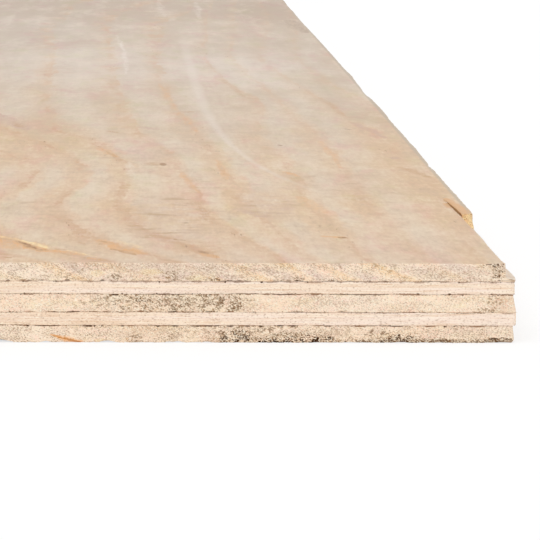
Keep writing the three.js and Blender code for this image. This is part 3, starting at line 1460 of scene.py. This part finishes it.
def knife_marks(face, colour):
    fibres, chattered = face.fibres, face.chattered
    rosy = chattered * ramp(fibres["Grain"] * 0.6 + fibres["Chatter"] * 0.6, 0.45, 0.8)
    return paint(
        colour,
        (rosy * 0.7, MAUVE_FACE),
        (fibres["Lines"] * (0.05 + 0.7 * chattered) * (1.0 - 0.7 * face.grey), LINE_FACE),
    )


def streaks(face, colour):
    fibres, grey = face.fibres, face.grey
    busy = 1.0 - 0.6 * face.calm
    blotch = face.noise((14, 50, 9), 19.0, 3.0, 0.6)
    streak = (fibres["Wide"] - 0.5) * (0.2 + 0.5 * grey + 0.4 * face.calm)
    for pattern, fresh, weathered, share in (
        (fibres["Fine"], 0.25, 0.05, 1.0),
        (fibres["Chatter"], 0.8, 0.2, 1.0),
        (fibres["Grain"], 1.4, 0.4, busy),
        (face.grit, 0.9, 0.1, 1.0),
        (fibres["Mottle"], 1.3, 0.45, busy),
        (blotch, 0.6, 2.0, busy),
    ):
        streak = streak + (pattern - 0.5) * (fresh + (weathered - fresh) * grey) * share
    return paint(
        colour,
        (at_least(streak, 0.0) * 0.9, blend(grey, PALE_STREAK, PALE_GREY)),
        (at_least(0.0 - streak, 0.0) * 0.8, blend(grey, DEEP_FACE, DEEP_GREY)),
        (fibres["Dashes"] * (0.1 + 0.5 * face.rings["Latewood"]), DARK_DASH),
    )


print("a pale streak is brighter than a deep one by:", round(PALE_STREAK[1] / DEEP_FACE[1], 2))

# %% [markdown]
# ## The peeled face: one long scratch
#
# Something was dragged over the sheet. It left a pale line that starts near the corner, close to the
# long edge, sweeps inwards in a bend that soon runs straight, and ends eight hundred millimetres
# back. An exponential makes the bend. Broken fibres fray the line on both sides.

# %% Scratch
SCRATCH_END, SCRATCH_SWEEP, SCRATCH_BEND = 62.6, 43.0, 85.0
SCRATCH_FADES_IN, SCRATCH_FADES_OUT = (90.0, 200.0), (570.0, 800.0)
SCRATCH_WIDENS, SCRATCH_WIDTHS = (150.0, 500.0), (1.6, 3.4)


def scratch(face, rough):
    """The mask of the scratch. The sweep dies away along the sheet."""
    sweep = maths("EXPONENT", (SCRATCH_FADES_IN[0] - face.back) / SCRATCH_BEND) * SCRATCH_SWEEP
    beside = maths("ABSOLUTE", face.inward - SCRATCH_END + sweep)
    width = ramp(face.back, *SCRATCH_WIDENS, *SCRATCH_WIDTHS)
    line = ramp(beside / width + rough * 0.2, 0.1, 1.0, 1.0, 0.0)
    line = line * ramp(face.back, *SCRATCH_FADES_IN, 0.05, 1.0)
    return line * ramp(face.back, *SCRATCH_FADES_OUT, 1.0, 0.0)


print("length of the scratch, mm:", SCRATCH_FADES_OUT[1] - SCRATCH_FADES_IN[0])

# %% [markdown]
# ## The peeled face: small marks
#
# Each mark has a tone, two ends in millimetres, a width and a strength. Beside the near edge two
# streaks of resin show orange, with gold and brown in them. The gold along their edges is partly the
# resin's colour and partly painted highlight. Others are bruises, small cracks, dark points and pale
# rubbed lines further back. Beside the break, where the sliver was torn off, the wood is bruised too.

# %% Small marks
ORANGE, GOLD_HIGHLIGHT = tone(219, 167, 112), tone(240, 214, 164)
MAUVE, CRACK_LIP_SHADE = tone(194, 160, 142), tone(176, 128, 80)
MARKS_ON_FACE = (
    (ORANGE, (121, 45), (107, 18), 4.4, 0.85),
    (ORANGE, (104.6, 19), (99, 12), 3.4, 0.7),
    (ORANGE, (119, 30), (114, 22), 4, 0.4),
    # The gold marks are the resin's colour, and partly painted highlight on the streaks' edges.
    (GOLD_HIGHLIGHT, (119, 43.5), (113.6, 36.5), 1.4, 0.6),
    (GOLD_HIGHLIGHT, (113, 36.5), (106.5, 23), 1.3, 0.75),
    (GOLD_HIGHLIGHT, (102.5, 20), (95.6, 9.5), 1.2, 0.65),
    (BROWN, (118.2, 39), (115.8, 37.5), 1, 0.7),
    (BROWN, (114.4, 35), (108, 18.5), 1.5, 0.9),
    (DARK, (113.6, 34), (109.2, 22.5), 0.8, 0.8),
    (DARK, (108.4, 21), (106.4, 19.3), 0.9, 0.4),
    (BROWN, (104.9, 22), (102.6, 20.4), 0.8, 0.7),
    (BROWN, (103.6, 15.6), (101.6, 11), 1.2, 0.5),
    (BROWN, (98.3, 8.8), (96.5, 7), 1.1, 0.6),
    (BROWN, (96.3, 2.2), (95.2, 1), 1.2, 0.55),
    (ORANGE, (96.6, 8), (94.2, 4), 1.8, 0.5),
    (BROWN, (94.9, 6), (92.2, 1), 2.2, 0.55),
    (BROWN, (117.6, 13), (114.2, 13), 1.6, 0.5),
    (BROWN, (115.8, 8.3), (114.2, 7), 1.6, 0.6),
    (ORANGE, (94.2, 38), (85.4, 14), 3.8, 0.5),
    (ORANGE, (91.2, 28), (86.2, 15), 3, 0.5),
    (GOLD_HIGHLIGHT, (90, 36), (85, 24), 1.6, 0.3),
    (BROWN, (91.2, 22), (86.6, 12), 1.2, 0.7),
    # The crack's lips are painted brown: the brown of its shaded inside, carried onto the face.
    (CRACK_LIP_SHADE, (3.1, 86), (4.2, 117), 0.95, 0.9),
    (DARK, (94.5, 30.4), (94, 30), 0.9, 0.55),
    (BROWN, (93.6, 35), (92.8, 33), 1.2, 0.6),
    (BROWN, (99.4, 33.9), (98.2, 28), 0.8, 0.5),
    (BROWN, (83, 46), (77, 39), 2.6, 0.4),
    (BROWN, (77, 33), (68, 10), 4.2, 0.35),
    (DARK, (77.2, 38.6), (75, 36.6), 1.2, 0.4),
    (DARK, (71.4, 19.4), (69.4, 14), 1.4, 0.45),
    (ORANGE, (71, 15), (67.4, 8.5), 2.4, 0.45),
    (BROWN, (87.9, 62.9), (84.2, 62.4), 1.8, 0.55),
    (ORANGE, (72.5, 178), (69.5, 130), 1.4, 0.35),
    (ORANGE, (76, 470), (71, 370), 1.8, 0.22),
    (ORANGE, (71.5, 380), (66, 290), 2.2, 0.25),
    (ORANGE, (62.5, 210), (60, 160), 1.8, 0.3),
    (BROWN, (61, 137), (58, 112), 2.6, 0.35),
    (MAUVE, (59, 96), (53, 80), 3.2, 0.45),
    (ORANGE, (42, 122), (38, 88), 3, 0.25),
    (ORANGE, (43, 180), (40, 168), 1.6, 0.45),
    (ORANGE, (27.5, 262), (26, 190), 1.8, 0.3),
    (BROWN, (9, 193), (3, 168), 2.2, 0.5),
    (MAUVE, (13, 322), (6, 274), 2.4, 0.5),
    (BROWN, (18, 416), (14, 345), 1.8, 0.3),
    (BROWN, (50.5, 487), (45.5, 415), 1.8, 0.35),
    (BROWN, (45.5, 412), (39, 405), 2.4, 0.3),
    (MAUVE, (133, 348), (120, 294), 5, 0.6),
    (BROWN, (125, 320), (122, 302), 2.4, 0.4),
    (BROWN, (94.5, 292), (91, 285), 1.8, 0.5),
    (ORANGE, (97, 241), (91.6, 216), 2.6, 0.6),
    (BROWN, (95, 232), (91.8, 217), 1, 0.7),
    (MAUVE, (83, 306), (79, 296), 3.4, 0.6),
    (BROWN, (70, 357), (64, 357), 4, 0.5),
    (MAUVE, (9.5, 217), (6.5, 216), 4, 0.6),
    (ORANGE, (40.5, 45), (35.5, 42), 2.2, 0.6),
    (DARK, (37, 43), (35.2, 42), 1.3, 0.8),
    (DARK, (74.6, 68.4), (73.9, 68.2), 1.3, 0.9),
    (DARK, (41, 252), (40.4, 249), 1, 0.6),
    (DARK, (60.8, 234), (60, 232), 1.2, 0.5),
    (DARK, (17, 302), (16, 299), 1.4, 0.5),
    (DARK, (23.8, 22), (23, 21), 1, 0.5),
    # This long dark mark beside the long edge, far back, is painted shade.
    (DUSK, (6.4, 845), (2.6, 755), 5.5, 0.9),
    (HAZE, (88, 205), (86.2, 160), 1.7, 0.25),
    (HAZE, (93, 730), (90, 640), 1.2, 0.3),
    (HAZE, (90.4, 690), (88.2, 515), 1.3, 0.4),
    (HAZE, (50, 990), (51, 850), 2.4, 0.3),
    (HAZE, (70, 1080), (69, 860), 2.6, 0.2),
)
print("small marks:", len(MARKS_ON_FACE))

# %% The worn face, and painted shade on its long edge
ARRIS_FROM, ARRIS_TO = 0.5, 1.5
WORN_ARRIS_SHADE, BRUISED = tone(184, 168, 150), tone(214, 168, 120)
BRUISE_START, BRUISE_END, BRUISE_WIDTH = on_face(1.9, 84), on_face(3.4, 119), 2.6


def handling(face, colour):
    """Everything that happened to the traced face since peeling, and painted shade on its arris."""
    fibres, place = face.fibres, face.place
    rough = (face.noise((1.6, 16.0, 0.9), 15.0) - 0.5) * 1.6 + (fibres["Grain"] - 0.5) * 1.8
    colour = blend(scratch(face, rough) * 0.32, colour, HAZE)
    sideways = (face.noise((9, 36, 9), 21.0, 3.0, 0.6) - 0.5) * 4.0
    wavy = vector_maths("ADD", place, join_place(sideways, 0.0, 0.0))
    patchy = fibres["Grain"] * 0.8 + fibres["Mottle"] * 0.7 + face.grit * 0.7
    streaky = ramp(patchy, 0.88, 1.32, 0.35, 1.35)
    for shade, start, end, width, strength in MARKS_ON_FACE:
        mark = mark_along(wavy, on_face(*start), on_face(*end), width, rough)
        colour = blend(mark * streaky * strength, colour, shade)
    # The rounded arris of the long edge is painted grey: partly wear, partly painted shade.
    arris = ramp(face.inward + rough * 0.12, ARRIS_TO, ARRIS_FROM)
    bruise = mark_along(place, BRUISE_START, BRUISE_END, BRUISE_WIDTH, rough)
    return paint(colour, (arris * 0.75, WORN_ARRIS_SHADE), (bruise * 0.85, BRUISED))


def face_veneer(name, seed, traced):
    """The material of a peeled face, with all its coats."""
    material, shader = new_material(name, roughness=0.6, specular=0.4)
    face = PeeledFace(sawn_place(material), seed, traced)
    colour = streaks(face, knife_marks(face, late_wood(face, early_wood(face))))
    if traced:
        colour = handling(face, colour)
    relief = (face.fibres["Fine"] - 0.5) * 0.4 + (face.fibres["Chatter"] - 0.5) * 0.5
    relief = relief - face.fibres["Dashes"] - 0.3 * face.rings["Latewood"]
    return dress(material, shader, colour, relief, 0.08)


print("the bruise by the break is this long, mm:", BRUISE_END[1] - BRUISE_START[1])

# %% [markdown]
# ## The sawn ends of the fibres
#
# Cream-coloured, with the slanting bands of late wood in soft orange. On top come the speckle of the
# cut, small stains, a few thin streaks of resin, the mould, and the glue lines with the gaps beside
# them. Stains, mould, resin and gaps are given for the near edge: so far in from the long edge, and
# so high.

# %% End grain: bands and speckle
CREAM_END, ROSY_END, LILAC_END = tone(254, 232, 205), tone(253, 223, 199), tone(226, 203, 188)
LATE_END, CORE_END = tone(248, 213, 170), tone(238, 194, 150)
FLECK, PIT = tone(255, 243, 222), tone(173, 139, 106)
END_SLANT = 0.4
SPOT_RUN = 30.0


def end_grain_bands(rings, ends, bands):
    """Cream early wood with bands of late wood, strong or hardly there."""
    cloud = ends["Cloud"]
    soft = rings["Latewood"] * ramp(cloud, 0.7, 0.4, 0.4, 1.0)
    return paint(
        blend(ramp(cloud, 0.3, 0.7), CREAM_END, ROSY_END),
        ((soft + 0.3 * ramp(ends["Rays"], 0.5, 0.75)) * bands, LATE_END),
        (rings["Core"] * ramp(cloud, 0.6, 0.4) * bands * 0.35, CORE_END),
        (rings["Early"] * ramp(cloud, 0.4, 0.62) * bands * 0.8, LILAC_END),
    )


# Pits are painted darker partly as their own shade, and flecks paler partly as painted highlight.
def speckle(colour, ends, lined, pitted):
    rays = ends["Rays"]
    return paint(
        colour,
        (ramp(rays, 0.52, 0.68) * lined, FLECK),
        (ramp(rays, 0.46, 0.32) * lined, PIT),
        (ends["Flecks"] * 0.9, FLECK),
        (ends["Pits"] * pitted, PIT),
    )


print("a pit against a fleck, red green blue:", [round(a / b, 2) for a, b in zip(PIT, FLECK)][:3])

# %% [markdown]
# ## Stains, resin, mould and glue on the ends
#
# Each of these is a short loop over a list that belongs to one ply. Mould has four coats: a yellow
# halo, rusty rims, pale flecks and the dark specks. Two of the glue lines show a little lower than
# where the plies meet, and are drawn there.

# %% End grain: what lies on it
MOULD_TONE, RUST_TONE, HALO_TONE = tone(72, 43, 18), tone(196, 150, 104), tone(218, 188, 148)
GLUE_TONE, GAP_SHADOW_TONE = tone(130, 80, 34), tone(74, 42, 14)
RESIN_DEEP, RESIN_GLOW = tone(196, 132, 74), tone(250, 186, 122)
GLUE_SAG_OVER = {"back_ply": 0.12, "crossband_upper": 0.15}
OUT_OF_REACH = 9.0
NOWHERE = (0, -999, 0)
NEVER = -3.0


def glue_levels(ply):
    """Where the glue lies under and over a ply. Outside the sheet it is put out of reach."""
    low, high = ply_levels(ply)
    below = PLIES[PLIES.index(ply) - 1]
    return {
        "Low": low - GLUE_SAG_OVER.get(below, 0.0) if low > 0 else -OUT_OF_REACH,
        "High": high - GLUE_SAG_OVER.get(ply, 0.0) if high < top else high + OUT_OF_REACH,
    }


def resin_streaks(colour, place, ends, rough, resin):
    for start, end, width in resin:
        line = on_edge(*start), on_edge(*end)
        glow = mark_along(place, *line, width * 2.8, rough * 0.6) * ramp(ends["Cloud"], 0.3, 0.6, 0.5, 1.0)
        streak = mark_along(place, *line, width, rough)
        colour = paint(colour, (glow * 0.85, RESIN_GLOW), (streak * 0.8, RESIN_DEEP))
    return colour


def mould_on_ends(colour, place, seed, patches, run, damp):
    """The mould of one ply: patches that come by chance, and then the given ones."""
    stains = [(NOWHERE, (1, 1, 1), 0.7, 0.0, damp)]
    for at, (reach, rise), strength, dense in patches:
        stains.append((on_edge(*at), (reach, run, rise), strength, dense, NEVER))
    for number, (centre, reach, strength, dense, chance) in enumerate(stains):
        given = {"Centre": centre, "Reach": reach, "Dense": dense, "Chance": chance}
        mould = use(MOULD, place, Seed=seed + number, Slant=END_SLANT, **given)
        colour = paint(
            colour,
            (mould["Halo"] * strength * 0.34, HALO_TONE),
            (mould["Rims"] * strength * 0.65, RUST_TONE),
            (mould["Flecks"] * strength, FLECK),
            (mould["Specks"] * strength, MOULD_TONE),
        )
    return colour


def end_grain(
    name, ply, seed, traced=0.0, bands=0.15, pitted=0.5, lined=0.12,
    mould=(), mould_run=25.0, damp=0.1, spots=(), resin=(), gaps=(),
):
    """The material of sawn fibre ends, with all that lies on one ply."""
    material, shader = new_material(name, roughness=0.85, specular=0.08)
    place = sawn_place(material)
    rings = use(RINGS, place, Seed=seed, Traced=traced)
    ends = use(CUT_ENDS, place, Seed=seed, Slant=END_SLANT)
    glue = use(GLUE, place, Seed=seed, **glue_levels(ply))
    rough = sway(place, (0.8, 5.0, 0.5), seed + 9.0, 2.0, 1.0)
    colour = end_grain_bands(rings, ends, bands)
    for shade, at, (reach, rise), strength in spots:
        spot = egg(place, on_edge(*at), (reach, SPOT_RUN, rise)) + rough * 0.5
        colour = blend(ramp(spot, 0.0, 0.9) * strength, colour, shade)
    hue = noise(place, (2.2, 30, 1.1), seed + 12.0, 1.0)
    colour = tinted(colour, ramp(hue, 0.52, 0.8) * 0.7, ramp(hue, 0.48, 0.2) * 0.6)
    colour = speckle(colour, ends, lined, pitted)
    colour = resin_streaks(colour, place, ends, rough, resin)
    colour = mould_on_ends(colour, place, seed, mould, mould_run, damp)
    # Glue lines are dark joints. The gaps beside them are painted shadow.
    colour = paint(colour, (glue["Line"] * 0.78, GLUE_TONE), (glue["Gap"], GAP_SHADOW_TONE))
    for start, end, level, width in gaps:
        gap = mark_along(place, on_edge(start, level), on_edge(end, level), width, rough)
        colour = blend(gap * 0.85, colour, GAP_SHADOW_TONE)
    relief = ends["Flecks"] * 0.5 - ends["Pits"] - glue["Line"] * 0.7 - glue["Gap"]
    return dress(material, shader, colour, relief, 0.05)


print("glue over the lowest ply, mm:", round(glue_levels("back_ply")["High"], 2))

# %% [markdown]
# ## The sawn sides of the fibres
#
# Where the grain runs along the edge, the cut is smooth. It shows level streaks, some rosy and some
# yellow, with hardly any pits. In a crossband the fibres run the other way, so there the place is
# read with its first two numbers swapped.

# %% Long grain
ROSY_SIDE, YELLOW_SIDE, GREY_SIDE = tone(251, 231, 216), tone(252, 230, 207), tone(228, 212, 194)
STREAK_SIDE, WARM_SIDE, PALE_SIDE = tone(230, 196, 164), tone(234, 202, 172), tone(254, 236, 218)
SIDE_SPOT_RUN = 60.0


def long_grain(name, ply, seed, across, rosy=0.5, grey=0.0, turning=0.0, spots=()):
    material, shader = new_material(name, roughness=0.75, specular=0.15)
    place = sawn_place(material)
    glue = use(GLUE, place, Seed=seed, **glue_levels(ply))
    inward, back, height = split_place(place)
    with_grain = join_place(back, inward, height) if across else place
    rosier = ramp(inward, 115.0, 20.0) * ramp(back, 90.0, 0.0) * turning
    zones = noise(with_grain, (9, 60, 1.1), seed) + rosier * 0.2
    zones = ramp(zones, 0.65 - 0.5 * rosy, 0.87 - 0.5 * rosy)
    fine = noise(with_grain, (0.4, 9, 0.2), seed + 1.0, 3.0, 0.6)
    broad = noise(with_grain, (3, 50, 0.45), seed + 2.0)
    grit = noise(with_grain, (0.3, 0.5, 0.25), seed + 3.0, 1.0, 0.6)
    colour = blend(grey, blend(zones, YELLOW_SIDE, ROSY_SIDE), GREY_SIDE)
    for shade, at, (reach, rise), strength in spots:
        spot = egg(place, on_edge(*at), (reach, SIDE_SPOT_RUN, rise))
        colour = blend(ramp(spot, 0.0, 0.9) * strength, colour, shade)
    mould = use(MOULD, place, Centre=NOWHERE, Chance=-0.1, Seed=seed)
    colour = paint(
        colour,
        (ramp(fine, 0.48, 0.7) * 0.65 + ramp(broad, 0.5, 0.72) * 0.4, STREAK_SIDE),
        (ramp(fine, 0.5, 0.3) * 0.6 + ramp(grit, 0.4, 0.3) * 0.8, FLECK),
        # Grit pits are dented and painted darker, partly as their shade.
        (ramp(grit, 0.58, 0.74) * 0.45, PIT),
        (mould["Specks"] * 0.5, MOULD_TONE),
        (glue["Line"] * 0.6, GLUE_TONE),
        # Gaps beside the glue are painted shadow.
        (glue["Gap"], GAP_SHADOW_TONE),
    )
    relief = (fine - 0.5) * 0.6 - ramp(grit, 0.58, 0.75) * 0.6 - glue["Line"] - glue["Gap"]
    return dress(material, shader, colour, relief, 0.12)


print("rosy wood against yellow wood, in blue:", round(ROSY_SIDE[2] / YELLOW_SIDE[2], 2))

# %% [markdown]
# ## Fresh wood in the break
#
# Wood that has just split has never seen the light. It is bright yellow to orange, with long torn
# fibres and brown between them. In the hollow of the crack the walls are painted a deeper brown,
# darker further down: painted shade.

# %% Fresh wood
FRESH_BRIGHT, FRESH_TAN = tone(255, 224, 170), tone(246, 202, 150)
FRESH_BROWN, CRACK_SHADE_BROWN = tone(160, 104, 56), tone(186, 128, 74)
HOLLOW_FROM, HOLLOW_TO = 88.0, 90.0
HOLLOW_DEPTH = 0.7


def fresh_wood(name, seed):
    material, shader = new_material(name, roughness=0.7, specular=0.3)
    place = sawn_place(material)
    _, back, height = split_place(place)
    fine = noise(place, (0.3, 9, 0.3), seed, 3.0)
    broad = noise(place, (1.2, 16, 1.0), seed + 1.0)
    # Painted shade in the crack: its walls go deeper brown, and more so further down.
    crack_shade = ramp(back, HOLLOW_FROM, HOLLOW_TO) * ramp(height, top, top - HOLLOW_DEPTH, 0.5, 1.0)
    colour = paint(
        blend(ramp(broad, 0.35, 0.65), FRESH_BRIGHT, FRESH_TAN),
        (ramp(fine, 0.54, 0.68) * 0.85, FRESH_BROWN),
        (crack_shade * 0.9, CRACK_SHADE_BROWN),
    )
    return dress(material, shader, colour, fine, 0.3)


print("fresh wood, red over blue:", round(FRESH_BRIGHT[0] / FRESH_BRIGHT[2], 1))

# %% [markdown]
# ## What lies on the near edge
#
# These lists are the edge's own history, ply by ply. Mould: where, how far it reaches to each side
# and up, how strong, how dense. Stains: a tone, where, how far, how strong. Resin: two ends and a
# width. Gaps, painted dark as the shadow in them, mostly beside the glue: from, to, height and width.
# All are in millimetres, and a place is given as inwards from the long edge, then height.

# %% Lowest ply
PALE_END, WARM_END, GOLD_END = tone(253, 232, 210), tone(222, 188, 156), tone(240, 212, 160)
SPOT_END, BARK_END = tone(216, 160, 104), tone(176, 146, 116)
BACK_MOULD = (
    ((50.4, 0.2), (9.8, 1.9), 1, 0.095),
    ((63.4, 1), (3.8, 2.2), 0.95, 0.06),
    ((58.7, 2.6), (12, 2), 0.5, 0),
    ((31.8, 1.2), (3.2, 2), 0.55, 0),
    ((25.5, 0.5), (4.6, 1.4), 0.95, 0.07),
    ((17.4, 0.2), (4.5, 1), 0.8, 0.05),
    ((17.4, 0), (24, 0.9), 0.85, 0.02),
    ((17.4, 0), (24, 0.6), 0.8, 0.04),
    ((4.2, 0.1), (5, 1), 0.95, 0.1),
    ((20, -0.2), (12, 0.9), 1, 0.095),
    ((16, -0.1), (19, 1), 0.6, 0.06),
    ((27, 0.2), (5, 1.2), 0.9, 0.07),
    ((85, 1), (5.5, 1.2), 0.45, 0.02),
    ((75, 2.2), (5, 1.6), 0.35, 0),
    ((13, 2.4), (5.5, 1.5), 0.18, 0),
    ((40, 2.6), (5, 1.4), 0.2, 0),
)
BACK_SPOTS = (
    (PALE_END, (113, 2), (12, 5), 0.8),
    (WARM_END, (85, 2.6), (6.5, 2.2), 0.4),
    (WARM_END, (56, 0.4), (19, 2.2), 0.55),
    (PALE_END, (2, 2.6), (6, 3), 0.5),
    (GOLD_END, (94.6, 0.4), (1.6, 0.4), 0.6),
    (SPOT_END, (88.4, 0.7), (0.6, 0.5), 0.6),
    (BARK_END, (86.6, 0.25), (2.4, 0.35), 0.5),
)
BACK_RESIN = (((105.7, 1.75), (102.3, 0.8), 0.13), ((103.9, 1.15), (98.2, -0.1), 0.3))
BACK_GAPS = (
    (109, 106.6, 3.98, 0.34), (105.4, 103.7, 3.9, 0.2), (98.3, 96.4, 3.8, 0.42),
    (89.6, 88.9, 3.84, 0.2), (81.7, 81, 3.82, 0.24), (78.1, 76.7, 3.8, 0.22),
    (73.8, 71.8, 3.82, 0.2), (70.9, 67.5, 3.84, 0.18), (65.7, 64.3, 3.8, 0.24),
    (61.4, 60.5, 3.82, 0.24), (58.4, 57.5, 3.8, 0.26), (54.3, 52.8, 3.84, 0.2),
    (51.6, 49.6, 3.84, 0.2), (43.5, 42.1, 3.82, 0.18), (28.6, 25.6, 3.84, 0.2),
    (16.3, 15.7, 3.84, 0.18),
)
print("lowest ply:", len(BACK_MOULD), "patches of mould,", len(BACK_GAPS), "gaps")

# %% Centre ply
CENTRE_MOULD = (
    ((91.5, 10.2), (2.2, 1.6), 0.85, 0),
    ((87, 10.2), (2.2, 1.4), 0.75, 0),
    ((84, 9.4), (2.6, 2), 0.9, 0),
    ((76.7, 8.8), (3.4, 2.4), 0.7, 0),
    ((70.4, 10.4), (3.4, 1.6), 0.82, 0),
    ((66.8, 8.6), (5.6, 2.4), 0.75, 0),
    ((76.9, 9.2), (18, 3.6), 0.5, 0),
    ((95, 9.6), (4, 2.4), 0.35, 0),
    ((6, 9), (3, 2.2), 0.45, 0),
)
CENTRE_SPOTS = (
    (SPOT_END, (3.2, 10), (1.1, 0.9), 0.5),
    (PALE_END, (37, 9), (12, 3.6), 0.7),
    (WARM_END, (3.6, 9), (4.2, 3), 0.4),
    (WARM_END, (72, 9), (17, 3.4), 0.2),
    (WARM_END, (85.5, 9), (6, 3.2), 0.35),
)
CENTRE_GAPS = (
    (91.4, 90.4, 10.95, 0.42), (87.5, 72.9, 11.1, 0.16), (55.5, 51, 11.08, 0.18),
    (42.4, 29, 11.1, 0.16), (105, 104.6, 7.06, 0.2), (101.8, 99.1, 7.06, 0.28),
    (79, 77.2, 7.05, 0.2), (70.6, 69.5, 7.05, 0.22), (23.4, 22.7, 7.05, 0.2),
)
print("centre ply:", len(CENTRE_MOULD), "patches of mould,", len(CENTRE_GAPS), "gaps")

# %% Face ply
FACE_MOULD = (
    ((4.9, 17.9), (3.2, 0.8), 0.8, 0.02),
    ((4.3, 15.8), (1.7, 2.3), 0.8, 0),
    ((78.6, 15), (1.8, 1.5), 0.45, 0.02),
    ((91.2, 14.8), (1.8, 1), 0.5, 0.04),
    ((101.7, 14.9), (1, 1), 0.45, 0.04),
    ((69, 14.6), (1.8, 0.8), 0.6, 0.03),
    ((41, 14.5), (2.4, 0.7), 0.6, 0.04),
    ((49.6, 14.6), (1.4, 0.7), 0.45, 0.04),
)
FACE_SPOTS = (
    (PALE_END, (114, 16.2), (10, 4.5), 0.6),
    (WARM_END, (75, 18.2), (40, 2.6), 0.35),
    (WARM_END, (85, 17.2), (7.5, 2.8), 0.4),
    (LILAC_END, (76.9, 16.8), (17, 3.2), 0.6),
    (GOLD_END, (83, 16.2), (3.4, 1), 0.6),
    (GOLD_END, (95.1, 15.9), (2.2, 1), 0.5),
    (GOLD_END, (72.9, 14.9), (3, 0.9), 0.4),
    (SPOT_END, (79.1, 15), (0.8, 0.6), 0.5),
    (SPOT_END, (68, 14.6), (1.4, 0.5), 0.5),
    (BARK_END, (5, 17.9), (1.4, 0.5), 0.7),
    (BARK_END, (4.3, 16), (1.6, 1.6), 0.5),
    (LILAC_END, (12.4, 16.4), (16, 3), 0.4),
)
FACE_GAPS = (
    (115.6, 114.8, 14.18, 0.24), (111.2, 109.8, 14.13, 0.2), (108, 107.4, 14.18, 0.26),
    (102.3, 101.3, 14.18, 0.24), (94.3, 93.7, 14.23, 0.24), (55.5, 51, 14.08, 0.2),
    (67.2, 60.5, 14.18, 0.18), (50.3, 49.6, 14.33, 0.2), (49.8, 47.8, 14.08, 0.24),
    (44.2, 42.2, 14.13, 0.18), (41.8, 41.5, 14.23, 0.28), (40.8, 39.9, 14.13, 0.28),
    (39, 36.8, 14.13, 0.18), (33.5, 33.1, 14.18, 0.24), (31.5, 29.2, 14.13, 0.18),
    (22.1, 17.4, 14.08, 0.24), (6.7, 5.7, 18.12, 0.16), (4.5, 4.1, 18.1, 0.3),
    (5.3, 4.8, 17.75, 0.16), (4.7, 4.5, 16.7, 0.22), (4.8, 4.6, 16.1, 0.18),
    (4.3, 4.1, 15.4, 0.2), (5.4, 5.2, 15, 0.2), (4.2, 3.6, 14.38, 0.22), (2.5, 1.2, 14.08, 0.22),
)
print("face ply:", len(FACE_MOULD), "patches of mould,", len(FACE_GAPS), "gaps")

# %% [markdown]
# ## The five plies
#
# Each ply is built and dressed in the four kinds of surface that a sheet of veneer has. It rides with
# the sheet's only body, and stands in for the flat block of the same name.

# %% Build and dress
TRACED = {"face_ply": 1.0}
ENDS = {
    "back_ply": {
        "mould": BACK_MOULD, "damp": 0.35, "spots": BACK_SPOTS, "resin": BACK_RESIN, "gaps": BACK_GAPS,
        "bands": 0.25, "pitted": 0.8, "lined": 0.35,
    },
    "centre_ply": {"mould": CENTRE_MOULD, "spots": CENTRE_SPOTS, "gaps": CENTRE_GAPS},
    "face_ply": {
        "mould": FACE_MOULD, "mould_run": 12.0, "spots": FACE_SPOTS, "gaps": FACE_GAPS,
        "bands": 0.9, "pitted": 0.6, "lined": 0.4,
    },
}
SIDES = {
    "crossband_lower": {
        "rosy": 0.45, "turning": 1.0, "spots": ((WARM_SIDE, (108.0, 5.5), (26.0, 5.0), 0.45),),
    },
    "crossband_upper": {
        "spots": (
            (WARM_SIDE, (115, 12.6), (10, 4), 0.3),
            (PALE_SIDE, (30, 12.6), (17, 5), 0.5),
        ),
    },
    "face_ply": {"grey": 0.8},
}

for ply in PLIES:
    grain, _, seed = LAYUP[ply]
    traced = TRACED.get(ply, 0.0)
    mesh = build_ply(ply)
    mesh.materials.append(face_veneer(ply + "_face", seed, traced))
    mesh.materials.append(end_grain(ply + "_ends", ply, seed, traced, **ENDS.get(ply, {})))
    mesh.materials.append(long_grain(ply + "_side", ply, seed + 0.5, bool(grain[0]), **SIDES.get(ply, {})))
    mesh.materials.append(fresh_wood(ply + "_fresh", seed))
    piece = bpy.data.objects.new(ply + "_veneer", mesh)
    bpy.context.scene.collection.objects.link(piece)
    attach(piece, "root")
    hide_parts(ply)
    print(piece.name, sum(len(face.vertices) - 2 for face in mesh.polygons), "triangles")
